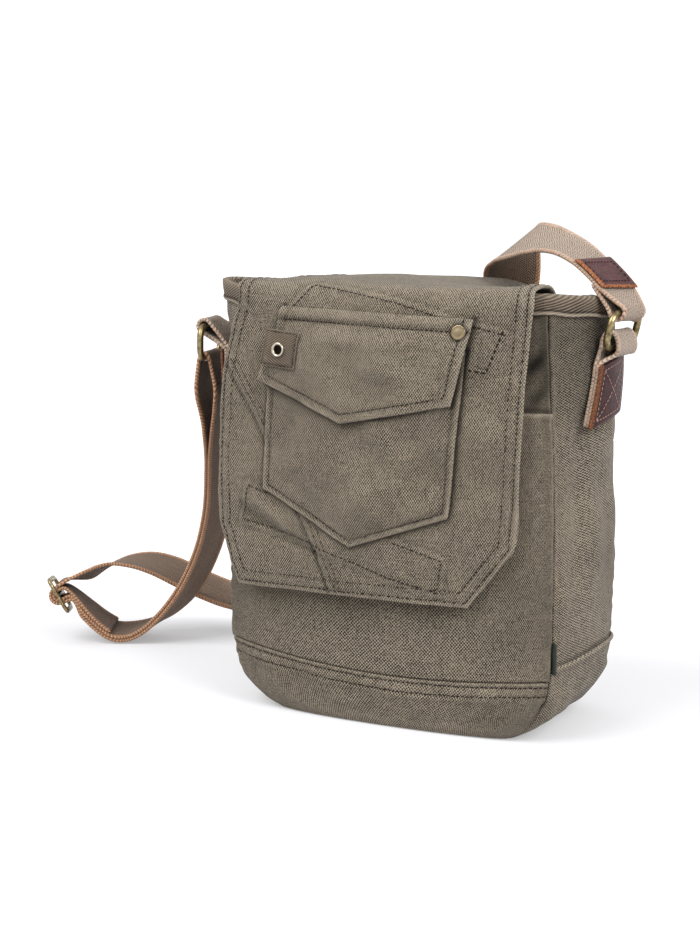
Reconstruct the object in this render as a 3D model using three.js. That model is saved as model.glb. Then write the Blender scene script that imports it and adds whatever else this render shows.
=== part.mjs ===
// Canvas shoulder bag with a hanging flap, a pouched flap pocket and a webbing shoulder strap.
// Millimetres, +Z up, the front faces -Y, the origin is on the floor at the middle of the base.
import * as THREE from "three";
import { mergeVertices } from "three/addons/utils/BufferGeometryUtils.js";

// Sizes that several pieces share.
const GAP = 0.3;
const WALL = 1.8;
const CORNER_REACH = 55;
const BINDING = { thickness: 1.2, height: 13 };
const RIM = { front: 274.5, back: 272, right: -2, left: 4 };
const FLAP_THICKNESS = 2.6;
const WEBBING = { width: 38, thickness: 2 };
const RING = { inside: 40, height: 17, wire: 4.4, corner: 8, gather: 0.78 };
const SLIDER = { bar: 4, slot: 9, thickness: 3, inside: 41, corner: 5 };

// Level sections of the body: half width at the corner seams, front and back depth, bulge of each gusset.
const BODY = [
  { z: 0, seam: 79, front: -46, back: 46, right: -5, left: 4 },
  { z: 7, seam: 91, front: -49, back: 49, right: -5, left: 5 },
  { z: 20, seam: 103, front: -52, back: 52, right: -3, left: 5 },
  { z: 40, seam: 109, front: -54, back: 54, right: 1, left: 4 },
  { z: 90, seam: 110.5, front: -54, back: 54, right: 3, left: 6 },
  { z: 160, seam: 110, front: -53, back: 53, right: 4, left: 12 },
  { z: 220, seam: 108, front: -52, back: 52, right: 7, left: 20 },
  { z: 260, seam: 106, front: -51, back: 51, right: 6, left: 25 },
  { z: 300, seam: 104, front: -50, back: 50, right: 3, left: 26 },
];

// Outer line of the flap from its root on the back panel, over the mouth, to the front of the rim.
const FLAP_TOP = [
  { y: 64.6, z: 232, half: 98, crown: -5, droop: 0, wave: 0 },
  { y: 65.8, z: 250, half: 98, crown: -5, droop: 0, wave: 0 },
  { y: 67.2, z: 263, half: 98, crown: -5, droop: 0, wave: 0 },
  { y: 67.4, z: 271.5, half: 98, crown: -3.5, droop: 0.3, wave: 0 },
  { y: 63.5, z: 278.3, half: 98, crown: -2, droop: 0.8, wave: 0.4 },
  { y: 48, z: 281, half: 98, crown: -1, droop: 1.6, wave: 1.2 },
  { y: 20, z: 282.4, half: 98, crown: 0, droop: 2, wave: 2 },
  { y: -10, z: 282.8, half: 98, crown: 0, droop: 2, wave: 2.3 },
  { y: -36, z: 282.8, half: 98, crown: 1, droop: 2, wave: 2.2 },
  { y: -54, z: 281.8, half: 98, crown: 2, droop: 1.4, wave: 1.2 },
  { y: -65.6, z: 278.4, half: 98, crown: 3, droop: 0.7, wave: 0.3 },
];

// Outer face of the hanging front of the flap, by height.
const FLAP_FRONT = [
  { z: 270, y: -68.8, half: 98.3, mid: -1, crown: 3.5, curl: 1 },
  { z: 256, y: -70.4, half: 99.5, mid: -2.4, crown: 4.5, curl: 2 },
  { z: 230, y: -71.8, half: 101.5, mid: -4.8, crown: 5, curl: 3 },
  { z: 195, y: -73, half: 103.5, mid: -8, crown: 5, curl: 4 },
  { z: 160, y: -74.4, half: 104.5, mid: -11, crown: 5, curl: 4 },
  { z: 123, y: -75, half: 104.5, mid: -14, crown: 5, curl: 4 },
  { z: 86, y: -74.4, half: 82, mid: -20, crown: 3, curl: 2 },
];

// Pouched pocket on the flap and the pointed flap over it: side lines and the three points of the lower edge.
const POUCH = {
  top: { z: 242, mid: -7, half: 67 },
  low: { z: 145, mid: -13, half: 64 },
  edge: { left: 150, tip: 118, right: 141 },
  thickness: 1.6,
  swell: 5.5,
};
const POUCH_FLAP = {
  top: { z: 261, mid: 0, half: 65 },
  low: { z: 214, mid: -14, half: 67.5 },
  edge: { left: 219, tip: 195, right: 209 },
  thickness: 2,
};

// Strap from the right ring, behind the bag, to the slider: middle of the webbing, direction across it.
const STRAP_OVER = [
  { x: 128.5, y: 2.5, z: 276, wx: 0.26, wy: 0.97, wz: -0.03 },
  { x: 118.5, y: 5.7, z: 285, wx: 0.27, wy: 0.96, wz: -0.02 },
  { x: 108, y: 8.7, z: 293, wx: 0.28, wy: 0.96, wz: 0 },
  { x: 96.7, y: 11.4, z: 299.8, wx: 0.29, wy: 0.95, wz: 0.1 },
  { x: 84.5, y: 15, z: 303.6, wx: 0.28, wy: 0.92, wz: 0.24 },
  { x: 70.5, y: 20, z: 305.3, wx: 0.32, wy: 0.83, wz: 0.44 },
  { x: 57, y: 28, z: 304.4, wx: 0.4, wy: 0.7, wz: 0.57 },
  { x: 47, y: 40, z: 302, wx: 0.56, wy: 0.6, wz: 0.57 },
  { x: 37, y: 60, z: 294, wx: 0.8, wy: 0.4, wz: 0.45 },
  { x: 29, y: 76, z: 277, wx: 0.97, wy: 0.1, wz: 0.2 },
  { x: 24, y: 81, z: 254, wx: 1, wy: 0, wz: 0 },
  { x: 12, y: 86, z: 220, wx: 0.95, wy: 0, wz: -0.3 },
  { x: -18, y: 92, z: 170, wx: 0.84, wy: 0, wz: -0.54 },
  { x: -66, y: 99, z: 113, wx: 0.72, wy: -0.05, wz: -0.69 },
  { x: -120, y: 112, z: 66, wx: 0.6, wy: -0.35, wz: -0.72 },
  { x: -172, y: 124, z: 35, wx: 0.45, wy: -0.72, wz: -0.52 },
  { x: -213, y: 124, z: 26, wx: 0.36, wy: -0.87, wz: -0.34 },
  { x: -236, y: 107, z: 37, wx: 0.37, wy: -0.86, wz: -0.35 },
  { x: -250, y: 95, z: 47, wx: 0.4, wy: -0.84, wz: -0.37 },
  { x: -264, y: 85, z: 54, wx: 0.48, wy: -0.83, wz: -0.26 },
  { x: -279, y: 74, z: 56.5, wx: 0.55, wy: -0.83, wz: -0.02 },
  { x: -291, y: 65, z: 54.5, wx: 0.55, wy: -0.8, wz: 0.22 },
  { x: -301, y: 55, z: 49, wx: 0.48, wy: -0.79, wz: 0.38 },
];

// Middle of the two layers that run from the slider, along the floor, up to the left ring.
const STRAP_PAIR = [
  { x: -302, y: 46, z: 22.5, wx: 0.5, wy: -0.87, wz: -0.02 },
  { x: -292, y: 51, z: 12.5, wx: 0.47, wy: -0.88, wz: -0.05 },
  { x: -282, y: 56, z: 5.8, wx: 0.46, wy: -0.88, wz: -0.07 },
  { x: -271, y: 62, z: 5.6, wx: 0.44, wy: -0.9, wz: -0.06 },
  { x: -260, y: 66.5, z: 9.6, wx: 0.37, wy: -0.93, wz: 0.01 },
  { x: -247, y: 71, z: 18.5, wx: 0.23, wy: -0.97, wz: 0.09 },
  { x: -230, y: 75, z: 37, wx: 0.08, wy: -0.99, wz: 0.08 },
  { x: -210, y: 73, z: 71, wx: 0.01, wy: -1, wz: -0.07 },
  { x: -191.5, y: 58, z: 110, wx: 0.02, wy: -0.96, wz: -0.26 },
  { x: -173, y: 30, z: 152, wx: 0.08, wy: -0.92, wz: -0.36 },
  { x: -157.5, y: 3, z: 186, wx: 0.17, wy: -0.95, wz: -0.24 },
  { x: -152.5, y: -9, z: 208, wx: 0.23, wy: -0.97, wz: -0.06 },
];

const vec = (x, y, z) => new THREE.Vector3(x, y, z);
const steps = (count) => Array.from({ length: count + 1 }, (_, i) => i / count);
const mix = (a, b, t) => a + (b - a) * t;
const clamp01 = (value) => Math.min(1, Math.max(0, value));
const smooth = (value) => clamp01(value) ** 2 * (3 - 2 * clamp01(value));
const swell = (t) => Math.sin(Math.PI * clamp01(t)) ** 2;

// One column of a table, smoothly between its rows.
function column(rows, key, name, value) {
  const rising = rows[rows.length - 1][key] > rows[0][key];
  const list = rising ? rows : [...rows].reverse();
  const last = list.length - 2;
  let i = 0;
  while (i < last && value > list[i + 1][key]) i += 1;
  const slope = (a, b) => (list[b][name] - list[a][name]) / (list[b][key] - list[a][key]);
  const span = list[i + 1][key] - list[i][key];
  const t = clamp01((value - list[i][key]) / span);
  const m0 = (i > 0 ? slope(i - 1, i + 1) : slope(i, i + 1)) * span;
  const m1 = (i < last ? slope(i, i + 2) : slope(i, i + 1)) * span;
  const h = 2 * t ** 3 - 3 * t ** 2;
  return (h + 1) * list[i][name] - h * list[i + 1][name]
    + (t ** 3 - 2 * t ** 2 + t) * m0 + (t ** 3 - t ** 2) * m1;
}

// Body outline. Sides run anticlockwise from above: 0 front, 1 right gusset, 2 back, 3 left gusset.
const TURN = Math.SQRT1_2 * CORNER_REACH;
function bodyFlat(side, t, z) {
  const get = (name) => column(BODY, "z", name, z);
  const s = get("seam");
  const corners = [[-s, get("front")], [s, get("front")], [s, get("back")], [-s, get("back")]];
  const turns = [[TURN, -TURN], [TURN, TURN], [-TURN, TURN], [-TURN, -TURN]];
  const bulge = [0, get("right"), 0, -get("left")][side] * swell(t);
  const next = (side + 1) % 4;
  const h = 2 * t ** 3 - 3 * t ** 2;
  const along = (k) => (h + 1) * corners[side][k] - h * corners[next][k]
    + (t ** 3 - 2 * t ** 2 + t) * turns[side][k] + (t ** 3 - t ** 2) * turns[next][k]
    + (k === 0 ? bulge : 0);
  return [along(0), along(1)];
}

function body(side, t, z, out) {
  const step = 1e-3;
  const a = bodyFlat(side, Math.max(0, t - step), z);
  const b = bodyFlat(side, Math.min(1, t + step), z);
  const [x, y] = bodyFlat(side, t, z);
  const size = Math.hypot(b[0] - a[0], b[1] - a[1]);
  return vec(x + (b[1] - a[1]) / size * out, y - (b[0] - a[0]) / size * out, z);
}

const rimAt = (side, t) => [
  RIM.front,
  mix(RIM.front, RIM.back, t) + RIM.right * swell(t),
  RIM.back,
  mix(RIM.back, RIM.front, t) + RIM.left * swell(t),
][side];
const bandTop = (side, t) => [41 - 8 * swell(t), 51 + 3 * swell(t), 41 - 8 * swell(t), 42 + 11 * swell(t)][side];

// Closed solid between two grids of points that share their rows and columns.
function closedSheet(outer, inner) {
  const rows = outer.length;
  const columns = outer[0].length;
  const points = [...outer.flat(), ...inner.flat()];
  const at = (layer, i, j) => layer * rows * columns + i * columns + j;
  const faces = [];
  const quad = (a, b, c, d) => faces.push(a, b, c, a, c, d);
  for (let i = 0; i + 1 < rows; i += 1) {
    for (let j = 0; j + 1 < columns; j += 1) {
      quad(at(0, i, j), at(0, i, j + 1), at(0, i + 1, j + 1), at(0, i + 1, j));
      quad(at(1, i, j), at(1, i + 1, j), at(1, i + 1, j + 1), at(1, i, j + 1));
    }
    quad(at(0, i, 0), at(0, i + 1, 0), at(1, i + 1, 0), at(1, i, 0));
    quad(at(0, i + 1, columns - 1), at(0, i, columns - 1), at(1, i, columns - 1), at(1, i + 1, columns - 1));
  }
  for (let j = 0; j + 1 < columns; j += 1) {
    quad(at(0, 0, j + 1), at(0, 0, j), at(1, 0, j), at(1, 0, j + 1));
    quad(at(0, rows - 1, j), at(0, rows - 1, j + 1), at(1, rows - 1, j + 1), at(1, rows - 1, j));
  }
  return solid(points, faces);
}

// Closed solid swept through rings of points: capped at both ends, or joined into a loop.
function sweep(rings, loop) {
  const n = rings[0].length;
  const points = rings.flat();
  const faces = [];
  const count = loop ? rings.length : rings.length - 1;
  for (let i = 0; i < count; i += 1) {
    const k = (i + 1) % rings.length;
    for (let j = 0; j < n; j += 1) {
      const m = (j + 1) % n;
      faces.push(i * n + j, i * n + m, k * n + m, i * n + j, k * n + m, k * n + j);
    }
  }
  if (!loop) {
    const half = n / 2;
    for (const [base, flip] of [[0, true], [(rings.length - 1) * n, false]]) {
      for (let j = 0; j + 1 < half; j += 1) {
        const a = base + j;
        const b = base + j + 1;
        const c = base + n - 2 - j;
        const d = base + n - 1 - j;
        faces.push(...(flip ? [a, c, b, a, d, c] : [a, b, c, a, c, d]));
      }
    }
  }
  return solid(points, faces);
}

function solid(points, faces) {
  let volume = 0;
  for (let i = 0; i < faces.length; i += 3) {
    const [a, b, c] = [points[faces[i]], points[faces[i + 1]], points[faces[i + 2]]];
    volume += a.dot(b.clone().cross(c));
  }
  const order = volume < 0 ? [...faces].reverse() : faces;
  const geometry = new THREE.BufferGeometry();
  geometry.setAttribute("position", new THREE.Float32BufferAttribute(points.flatMap((p) => p.toArray()), 3));
  geometry.setIndex(order);
  return geometry;
}

// A piece of the body wall between two heights, with rows at given shares of the way up.
function wall(side, low, high, across, levels, out = () => 0) {
  const trim = 0.5 * GAP / CORNER_REACH;
  const grid = (layer) => levels.map((v) => steps(across).map((u) => {
    const t = mix(trim, 1 - trim, u);
    const z = mix(low(t) + GAP / 2, high(t) - GAP / 2, v);
    return body(side, t, z, out(t, v) - layer * WALL);
  }));
  return closedSheet(grid(0), grid(1));
}

function bottomPanel() {
  const inset = WALL + GAP + 0.4;
  const ring = [0, 1, 2, 3].flatMap((side) => steps(8).slice(0, 8).map((t) => body(side, t, 0, -inset)));
  const shape = new THREE.Shape(ring.map((p) => new THREE.Vector2(p.x, p.y)));
  return new THREE.ExtrudeGeometry(shape, { depth: WALL, bevelEnabled: false });
}

// Tape folded over the rim, all round the mouth.
function mouthBinding() {
  const inside = -WALL - GAP;
  const t = BINDING.thickness;
  const profile = [
    [GAP, GAP], [GAP, -BINDING.height], [GAP + t, -BINDING.height], [GAP + t, GAP + t],
    [inside - t, GAP + t], [inside - t, -BINDING.height], [inside, -BINDING.height], [inside, GAP],
  ];
  const rings = [0, 1, 2, 3].flatMap((side) => steps(12).slice(0, 12).map((u) =>
    profile.map(([out, up]) => body(side, u, rimAt(side, u) + up, out))));
  return sweep(rings, true);
}

// Front of the flap at a height, with `out` counted outward from its outer face.
function flapFront(x, z, out) {
  const get = (name) => column(FLAP_FRONT, "z", name, z);
  const a = (x - get("mid")) / get("half");
  const back = clamp01((-a - 0.72) / 0.28) ** 2 * get("curl");
  return vec(x, get("y") + get("crown") * a * a + back - out, z);
}

function flapLine(z) {
  const low = FLAP_FRONT[FLAP_FRONT.length - 1];
  const cut = FLAP_FRONT[FLAP_FRONT.length - 2];
  if (z > cut.z) return { mid: column(FLAP_FRONT, "z", "mid", z), half: column(FLAP_FRONT, "z", "half", z) };
  const t = (cut.z - z) / (cut.z - low.z);
  return { mid: mix(cut.mid, low.mid, t), half: mix(cut.half, low.half, t) };
}

function flap() {
  const across = steps(14).map((t) => 2 * t - 1);
  const over = FLAP_TOP.map((row) => across.map((a) => {
    const z = row.z - row.droop * a * a - row.wave * Math.sin(Math.PI * a);
    return vec(a * row.half, row.y + row.crown * a * a, z);
  }));
  const front = [270, 256, 230, 195, 160, 123, 104, 86].map((z) => across.map((a) => {
    const line = flapLine(z);
    return flapFront(line.mid + a * line.half, z, 0);
  }));
  const outer = [...over, ...front];
  const inner = outer.map((row, i) => row.map((p, j) => {
    const before = outer[Math.max(0, i - 1)][j];
    const after = outer[Math.min(outer.length - 1, i + 1)][j];
    const along = after.clone().sub(before);
    const inward = vec(0, along.z, -along.y).normalize();
    return p.clone().addScaledVector(inward, -FLAP_THICKNESS);
  }));
  return closedSheet(outer, inner);
}

const lineAt = (piece, z) => {
  const t = (piece.top.z - z) / (piece.top.z - piece.low.z);
  return { mid: mix(piece.top.mid, piece.low.mid, t), half: mix(piece.top.half, piece.low.half, t) };
};
const lowerEdge = (piece, u) => mix(piece.edge.tip, u < 0 ? piece.edge.left : piece.edge.right, Math.abs(u));

// Height of the pocket's inner face above the flap.
function pouchLift(u, v) {
  const hang = 0.55 + 0.45 * Math.sin(Math.PI * Math.min(1, v / 0.8) / 2);
  return GAP + POUCH.swell * clamp01(1 - u * u) ** 0.7 * hang * (1 - smooth((v - 0.62) / 0.38));
}

function onFlap(piece, u, v, lift) {
  const z = mix(piece.top.z, lowerEdge(piece, u), v);
  const line = lineAt(piece, z);
  return flapFront(line.mid + u * line.half, z, lift);
}

function pouch() {
  const grid = (layer) => steps(10).map((v) => steps(12).map((s) => {
    const u = 2 * s - 1;
    return onFlap(POUCH, u, v, pouchLift(u, v) + layer * POUCH.thickness);
  }));
  return closedSheet(grid(1), grid(0));
}

// Height of the pocket flap's inner face above the flap: sewn down along its top, then over the pocket.
function pouchFlapLift(u, z) {
  const over = smooth((POUCH_FLAP.top.z - 3 - z) / 15);
  const v = clamp01((POUCH.top.z - z) / (POUCH.top.z - POUCH.edge.tip));
  return GAP + over * (POUCH.thickness + GAP + pouchLift(u * 0.97, v));
}

function pouchFlap() {
  const grid = (layer) => steps(8).map((v) => steps(12).map((s) => {
    const u = 2 * s - 1;
    const z = mix(POUCH_FLAP.top.z, lowerEdge(POUCH_FLAP, u), v);
    return onFlap(POUCH_FLAP, u, v, pouchFlapLift(u, z) + layer * POUCH_FLAP.thickness);
  }));
  return closedSheet(grid(1), grid(0));
}

// Place a flat piece modelled on XY, facing +Z, on the pocket flap.
function onPocketFlap(geometry, x, z, lift) {
  const face = (px, pz) => {
    const line = lineAt(POUCH_FLAP, pz);
    const u = (px - line.mid) / line.half;
    return flapFront(px, pz, pouchFlapLift(u, pz) + POUCH_FLAP.thickness + lift);
  };
  const across = face(x + 4, z).sub(face(x - 4, z)).normalize();
  const up = face(x, z + 4).sub(face(x, z - 4)).normalize();
  const out = across.clone().cross(up).normalize();
  const place = new THREE.Matrix4().makeBasis(across, out.clone().cross(across), out);
  return geometry.applyMatrix4(place.setPosition(face(x, z)));
}

const EYELET = { x: -64, z: 238, hole: 2.8, barrel: 3.4, flange: 5, tab: 26, tabThickness: 1.3 };
const RIVET = { x: 56, z: 253, radius: 4.6 };

function eyeletTab() {
  const h = EYELET.tab / 2;
  const corners = [[-h, -h], [h, -h], [h, h], [-h, h]];
  const shape = new THREE.Shape(corners.map(([x, y]) => new THREE.Vector2(x, y)));
  const hole = new THREE.Path();
  hole.absarc(0, 0, EYELET.barrel + GAP, 0, 2 * Math.PI, true);
  shape.holes.push(hole);
  const options = { depth: EYELET.tabThickness, bevelEnabled: false, curveSegments: 12 };
  const plate = new THREE.ExtrudeGeometry(shape, options);
  return onPocketFlap(plate, EYELET.x, EYELET.z, 0.8);
}

// Turned piece: radius and height pairs, about +Z.
function turned(profile, segments) {
  const points = profile.map(([r, h]) => new THREE.Vector2(r, h));
  return new THREE.LatheGeometry(points, segments).rotateX(Math.PI / 2);
}

function eyelet() {
  const top = EYELET.tabThickness + GAP;
  const { hole, barrel, flange } = EYELET;
  const ring = turned([[hole, 0], [barrel, 0], [barrel, top], [flange, top], [flange - 0.3, top + 0.6],
    [barrel + 0.4, top + 1], [hole, top + 0.5], [hole, 0]], 24);
  return onPocketFlap(ring, EYELET.x, EYELET.z, 0.8);
}

function rivet() {
  const r = RIVET.radius;
  const dome = turned([[0, 0], [r, 0], [r, 0.5], [r * 0.75, 1.4], [r * 0.4, 1.9], [0, 2.1]], 24);
  return onPocketFlap(dome, RIVET.x, RIVET.z, 0.5);
}

const LABEL = { place: 0.04, z: 57, reach: 5, thickness: 1, height: 19 };
function sideLabel() {
  const { place, z, reach, thickness, height } = LABEL;
  const corner = body(1, place, z, 2 * GAP);
  const label = new THREE.BoxGeometry(reach, thickness, height).translate(reach / 2, 0, 0).rotateZ(-Math.PI / 4);
  return label.translate(corner.x, corner.y, corner.z);
}

// Webbing ribbon through stations: a middle c, a direction across w, a half width, or a lay on a gusset.
function ribbon(stations, thickness, across) {
  const rings = stations.map((station, i) => {
    const before = stations[Math.max(0, i - 1)].c;
    const after = stations[Math.min(stations.length - 1, i + 1)].c;
    const along = after.clone().sub(before).normalize();
    const w = station.w.clone().addScaledVector(along, -station.w.dot(along)).normalize();
    const n = along.clone().cross(w).normalize();
    const half = station.half || WEBBING.width / 2;
    const face = (sign) => steps(across).map((s) => {
      const q = 2 * s - 1;
      if (station.lay) return station.lay(q, Math.sign(n.dot(station.out)) * sign * thickness / 2);
      return station.c.clone().addScaledVector(w, q * half).addScaledVector(n, sign * thickness / 2);
    });
    return [...face(1), ...face(-1).reverse()];
  });
  return sweep(rings, false);
}

// Smooth stations through table rows.
function through(rows, parts) {
  const middle = new THREE.CatmullRomCurve3(rows.map((r) => vec(r.x, r.y, r.z)), false, "centripetal");
  const edge = new THREE.CatmullRomCurve3(rows.map((r) => vec(r.wx, r.wy, r.wz)), false, "catmullrom");
  const count = (rows.length - 1) * parts;
  return steps(count).map((t) => ({ c: middle.getPoint(t), w: edge.getPoint(t).normalize() }));
}

// Half turn and a little more about a bar, starting on the side `from`, standing `rise` radii on the side `over`.
function turnAbout(centre, w, from, over, radius, half, more = 0, rise = 1) {
  return steps(8).map((t) => {
    const angle = (Math.PI + more) * t;
    const height = Math.sin(angle) * (angle < Math.PI ? rise : 1);
    const c = centre.clone().addScaledVector(from, radius * Math.cos(angle)).addScaledVector(over, radius * height);
    return { c, w, half };
  });
}

// Where the rings hang: middle of the lower bar, direction of the bars, direction from lower to upper bar.
const RIGHT_RING = {
  low: vec(131, -2, 242.3),
  w: vec(0.06, 0.997, -0.014).normalize(),
  lean: vec(0.231, 0, 0.973).normalize(),
};
const LEFT_RING = {
  low: vec(-153, -12, 225.5),
  w: vec(0.24, -0.97, 0).normalize(),
  lean: vec(0.02, 0, 1).normalize(),
};
const BAR_SPAN = RING.height + RING.wire;
const WRAP = RING.wire / 2 + GAP + WEBBING.thickness / 2 + 0.1;
const LOOSE = 0.9;
const GATHERED = WEBBING.width / 2 * RING.gather;
const upperBar = (place) => place.low.clone().addScaledVector(place.lean, BAR_SPAN);

function ring(place) {
  const r = RING.corner;
  const across = RING.inside / 2 + RING.wire / 2 - r;
  const up = BAR_SPAN / 2 - r;
  const centre = place.low.clone().addScaledVector(place.lean, BAR_SPAN / 2);
  const corners = [[across, up, 0], [-across, up, 1], [-across, -up, 2], [across, -up, 3]];
  const path = corners.flatMap(([x, y, turn]) => steps(6).map((t) => {
    const angle = (turn + t) * Math.PI / 2;
    return centre.clone().addScaledVector(place.w, x + r * Math.cos(angle))
      .addScaledVector(place.lean, y + r * Math.sin(angle));
  }));
  const rings = path.map((p, i) => {
    const before = path[(i + path.length - 1) % path.length];
    const along = path[(i + 1) % path.length].clone().sub(before).normalize();
    const face = place.w.clone().cross(place.lean).normalize();
    const out = along.clone().cross(face).normalize();
    return steps(8).slice(0, 8).map((t) => p.clone()
      .addScaledVector(face, RING.wire / 2 * Math.cos(2 * Math.PI * t))
      .addScaledVector(out, RING.wire / 2 * Math.sin(2 * Math.PI * t)));
  });
  return sweep(rings, true);
}

// Webbing tab laid on a gusset, folded round a bar of the ring, and the leather patch sewn over its foot.
const TAB = { foot: 199.5, head: 236.5, lean: 11, slant: 3.9, reach: 17.6, roll: 5.6, rise: 1.8, more: 0.9 };
const LAID = { first: 1.35, second: 3.7, patch: 5.85, patchThickness: 1.6 };
const SIDES = {
  right: { side: 1, middle: -3, turn: 1, out: vec(0.998, -0.06, 0).normalize() },
  left: { side: 3, middle: -8, turn: -1, out: vec(-0.97, -0.24, 0).normalize() },
};

// The rolled tops of the tabs: the right one about the lower bar, the left one about the upper bar.
function tabRoll(place, bar, hang, tilt, radius, more, rise) {
  const from = place.out.clone().multiplyScalar(-Math.cos(tilt)).add(vec(0, 0, Math.sin(tilt)));
  const over = place.out.clone().multiplyScalar(Math.sin(tilt)).add(vec(0, 0, Math.cos(tilt)));
  return turnAbout(bar, hang.w, from, over, radius, GATHERED, more, rise);
}

function onGusset(side, y, z, out) {
  let low = 0;
  let high = 1;
  for (let i = 0; i < 40; i += 1) {
    const t = (low + high) / 2;
    if ((bodyFlat(side, t, z)[1] < y) === (side === 1)) low = t;
    else high = t;
  }
  return body(side, low, z, out);
}

function laid(place, w, z, lift, reach) {
  const { side, middle, turn, out } = place;
  const y = middle - TAB.lean * clamp01((TAB.head - z) / (TAB.head - TAB.foot));
  const lay = (q, more) => onGusset(side, y + turn * q * reach, z + turn * q * TAB.slant, lift + more);
  return { c: lay(0, 0), w, out, lay };
}

function tab(place, hang, roll) {
  const heights = steps(3).map((t) => mix(TAB.foot, TAB.head, t));
  const first = heights.map((z) => laid(place, hang.w, z, LAID.first, TAB.reach));
  const second = [...heights].reverse().map((z) => laid(place, hang.w, z, LAID.second, TAB.reach));
  return ribbon([...first, ...roll, ...second], WEBBING.thickness, 6);
}

function tabPatch(place, hang) {
  const heights = steps(4).map((t) => mix(TAB.foot - 1.5, TAB.head - 0.6, t));
  const rows = heights.map((z) => laid(place, hang.w, z, LAID.patch, TAB.reach + 0.6));
  return ribbon(rows, LAID.patchThickness, 6);
}

// The slider stands at the left end of the loop; the strap turns about its middle bar.
const SLIDER_CENTRE = vec(-318, 37, 34.5);
const SLIDER_W = vec(0.52, -0.84, 0.15).normalize();
const SLIDER_FACE = vec(-0.85, -0.53, -0.58);
const SLIDER_OUT = SLIDER_FACE.clone().addScaledVector(SLIDER_W, -SLIDER_FACE.dot(SLIDER_W)).normalize();
const SLIDER_UP = SLIDER_W.clone().cross(SLIDER_OUT).normalize();
if (SLIDER_UP.z < 0) SLIDER_UP.negate();

function slider() {
  const { bar, slot, thickness, inside } = SLIDER;
  const half = inside / 2 + bar;
  const tall = 1.5 * bar + slot;
  const r = SLIDER.corner;
  const outline = new THREE.Shape();
  outline.absarc(half - r, tall - r, r, 0, Math.PI / 2);
  outline.absarc(-half + r, tall - r, r, Math.PI / 2, Math.PI);
  outline.absarc(-half + r, -tall + r, r, Math.PI, 1.5 * Math.PI);
  outline.absarc(half - r, -tall + r, r, 1.5 * Math.PI, 2 * Math.PI);
  for (const low of [bar / 2, -bar / 2 - slot]) {
    const high = low + slot;
    const corners = [[-inside / 2, low], [-inside / 2, high], [inside / 2, high], [inside / 2, low]];
    outline.holes.push(new THREE.Path(corners.map(([x, y]) => new THREE.Vector2(x, y))));
  }
  const options = { depth: thickness, bevelEnabled: false, curveSegments: 5 };
  const plate = new THREE.ExtrudeGeometry(outline, options).translate(0, 0, -thickness / 2);
  const place = new THREE.Matrix4().makeBasis(SLIDER_W, SLIDER_UP, SLIDER_W.clone().cross(SLIDER_UP));
  return plate.applyMatrix4(place.setPosition(SLIDER_CENTRE));
}

// Where each run of the strap passes the slider: inward from its middle bar, and up.
const PASS = { over: [10, 7], lower: [7, -6.7], upper: [7, -4.1], end: [7, 2.7] };
const atSlider = ([inward, up]) => ({
  c: SLIDER_CENTRE.clone().addScaledVector(SLIDER_OUT, -inward).addScaledVector(SLIDER_UP, up),
  w: SLIDER_W,
});

// Stations moved off a path along its normal, on the side of a direction.
function offPath(path, lift, side) {
  return path.map((s, i) => {
    const before = path[Math.max(0, i - 1)].c;
    const along = path[Math.min(path.length - 1, i + 1)].c.clone().sub(before).normalize();
    const n = along.cross(s.w).normalize();
    if (side && n.dot(side) < 0) n.negate();
    const height = typeof lift === "function" ? lift(i / (path.length - 1)) : lift;
    return { ...s, c: s.c.clone().addScaledVector(n, height) };
  });
}

// The whole strap in one length, from its sewn end at the right ring to its sewn end at the slider.
const PARTS = 3;
const LAYER = WEBBING.thickness / 2 + GAP / 2 + 0.15;
const SEWN_BACK = 8;
const RING_SPREAD = 6.6;
function shoulderStrap() {
  const over = through(STRAP_OVER, PARTS);
  const high = upperBar(RIGHT_RING);
  const leave = over[0].c.clone().sub(high).normalize();
  const out = leave.clone().cross(RIGHT_RING.w).normalize();
  if (out.x < 0) out.negate();
  const under = offPath(over.slice(0, SEWN_BACK), 2 * LAYER, out.clone().negate()).slice(1).reverse();
  const [from, past] = [out.clone().negate(), leave.clone().negate()];
  const rightTurn = turnAbout(high, RIGHT_RING.w, from, past, WRAP + LOOSE, GATHERED);

  const pair = through(STRAP_PAIR, PARTS);
  const spread = (t) => mix(LAYER, RING_SPREAD, smooth((t - 0.82) / 0.18));
  const lower = offPath(pair, spread);
  const upper = offPath(pair, (t) => -spread(t));
  const bar = Math.hypot(SLIDER.bar, SLIDER.thickness) / 2 + GAP + WEBBING.thickness / 2;
  const sliderTurn = turnAbout(SLIDER_CENTRE, SLIDER_W, SLIDER_UP, SLIDER_OUT, bar + WEBBING.thickness + GAP);
  const endTurn = turnAbout(SLIDER_CENTRE, SLIDER_W, SLIDER_UP.clone().negate(), SLIDER_OUT, bar);
  const last = pair.length - 1;
  const side = lower[last].c.clone().sub(upper[last].c).normalize();
  const leftTurn = turnAbout(LEFT_RING.low, LEFT_RING.w, side, vec(0, 0, 1), WRAP, GATHERED);
  const end = offPath(pair, (t) => -spread(t) - 2 * LAYER - 0.2).slice(1, 6);
  return ribbon([
    ...under, ...rightTurn, ...over, atSlider(PASS.over), ...sliderTurn, atSlider(PASS.lower), ...lower, ...leftTurn,
    ...upper.reverse(), atSlider(PASS.upper), ...endTurn, atSlider(PASS.end), ...end,
  ], WEBBING.thickness, 1);
}

// Leather patch over the strap just above the right ring.
function strapPatch() {
  const over = through(STRAP_OVER, PARTS);
  const lift = WEBBING.thickness / 2 + GAP + 0.45 + 0.8;
  return ribbon(offPath(over.slice(0, 8), lift, vec(0.6, 0, 0.8)).slice(0, 7), 1.6, 1);
}

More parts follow.
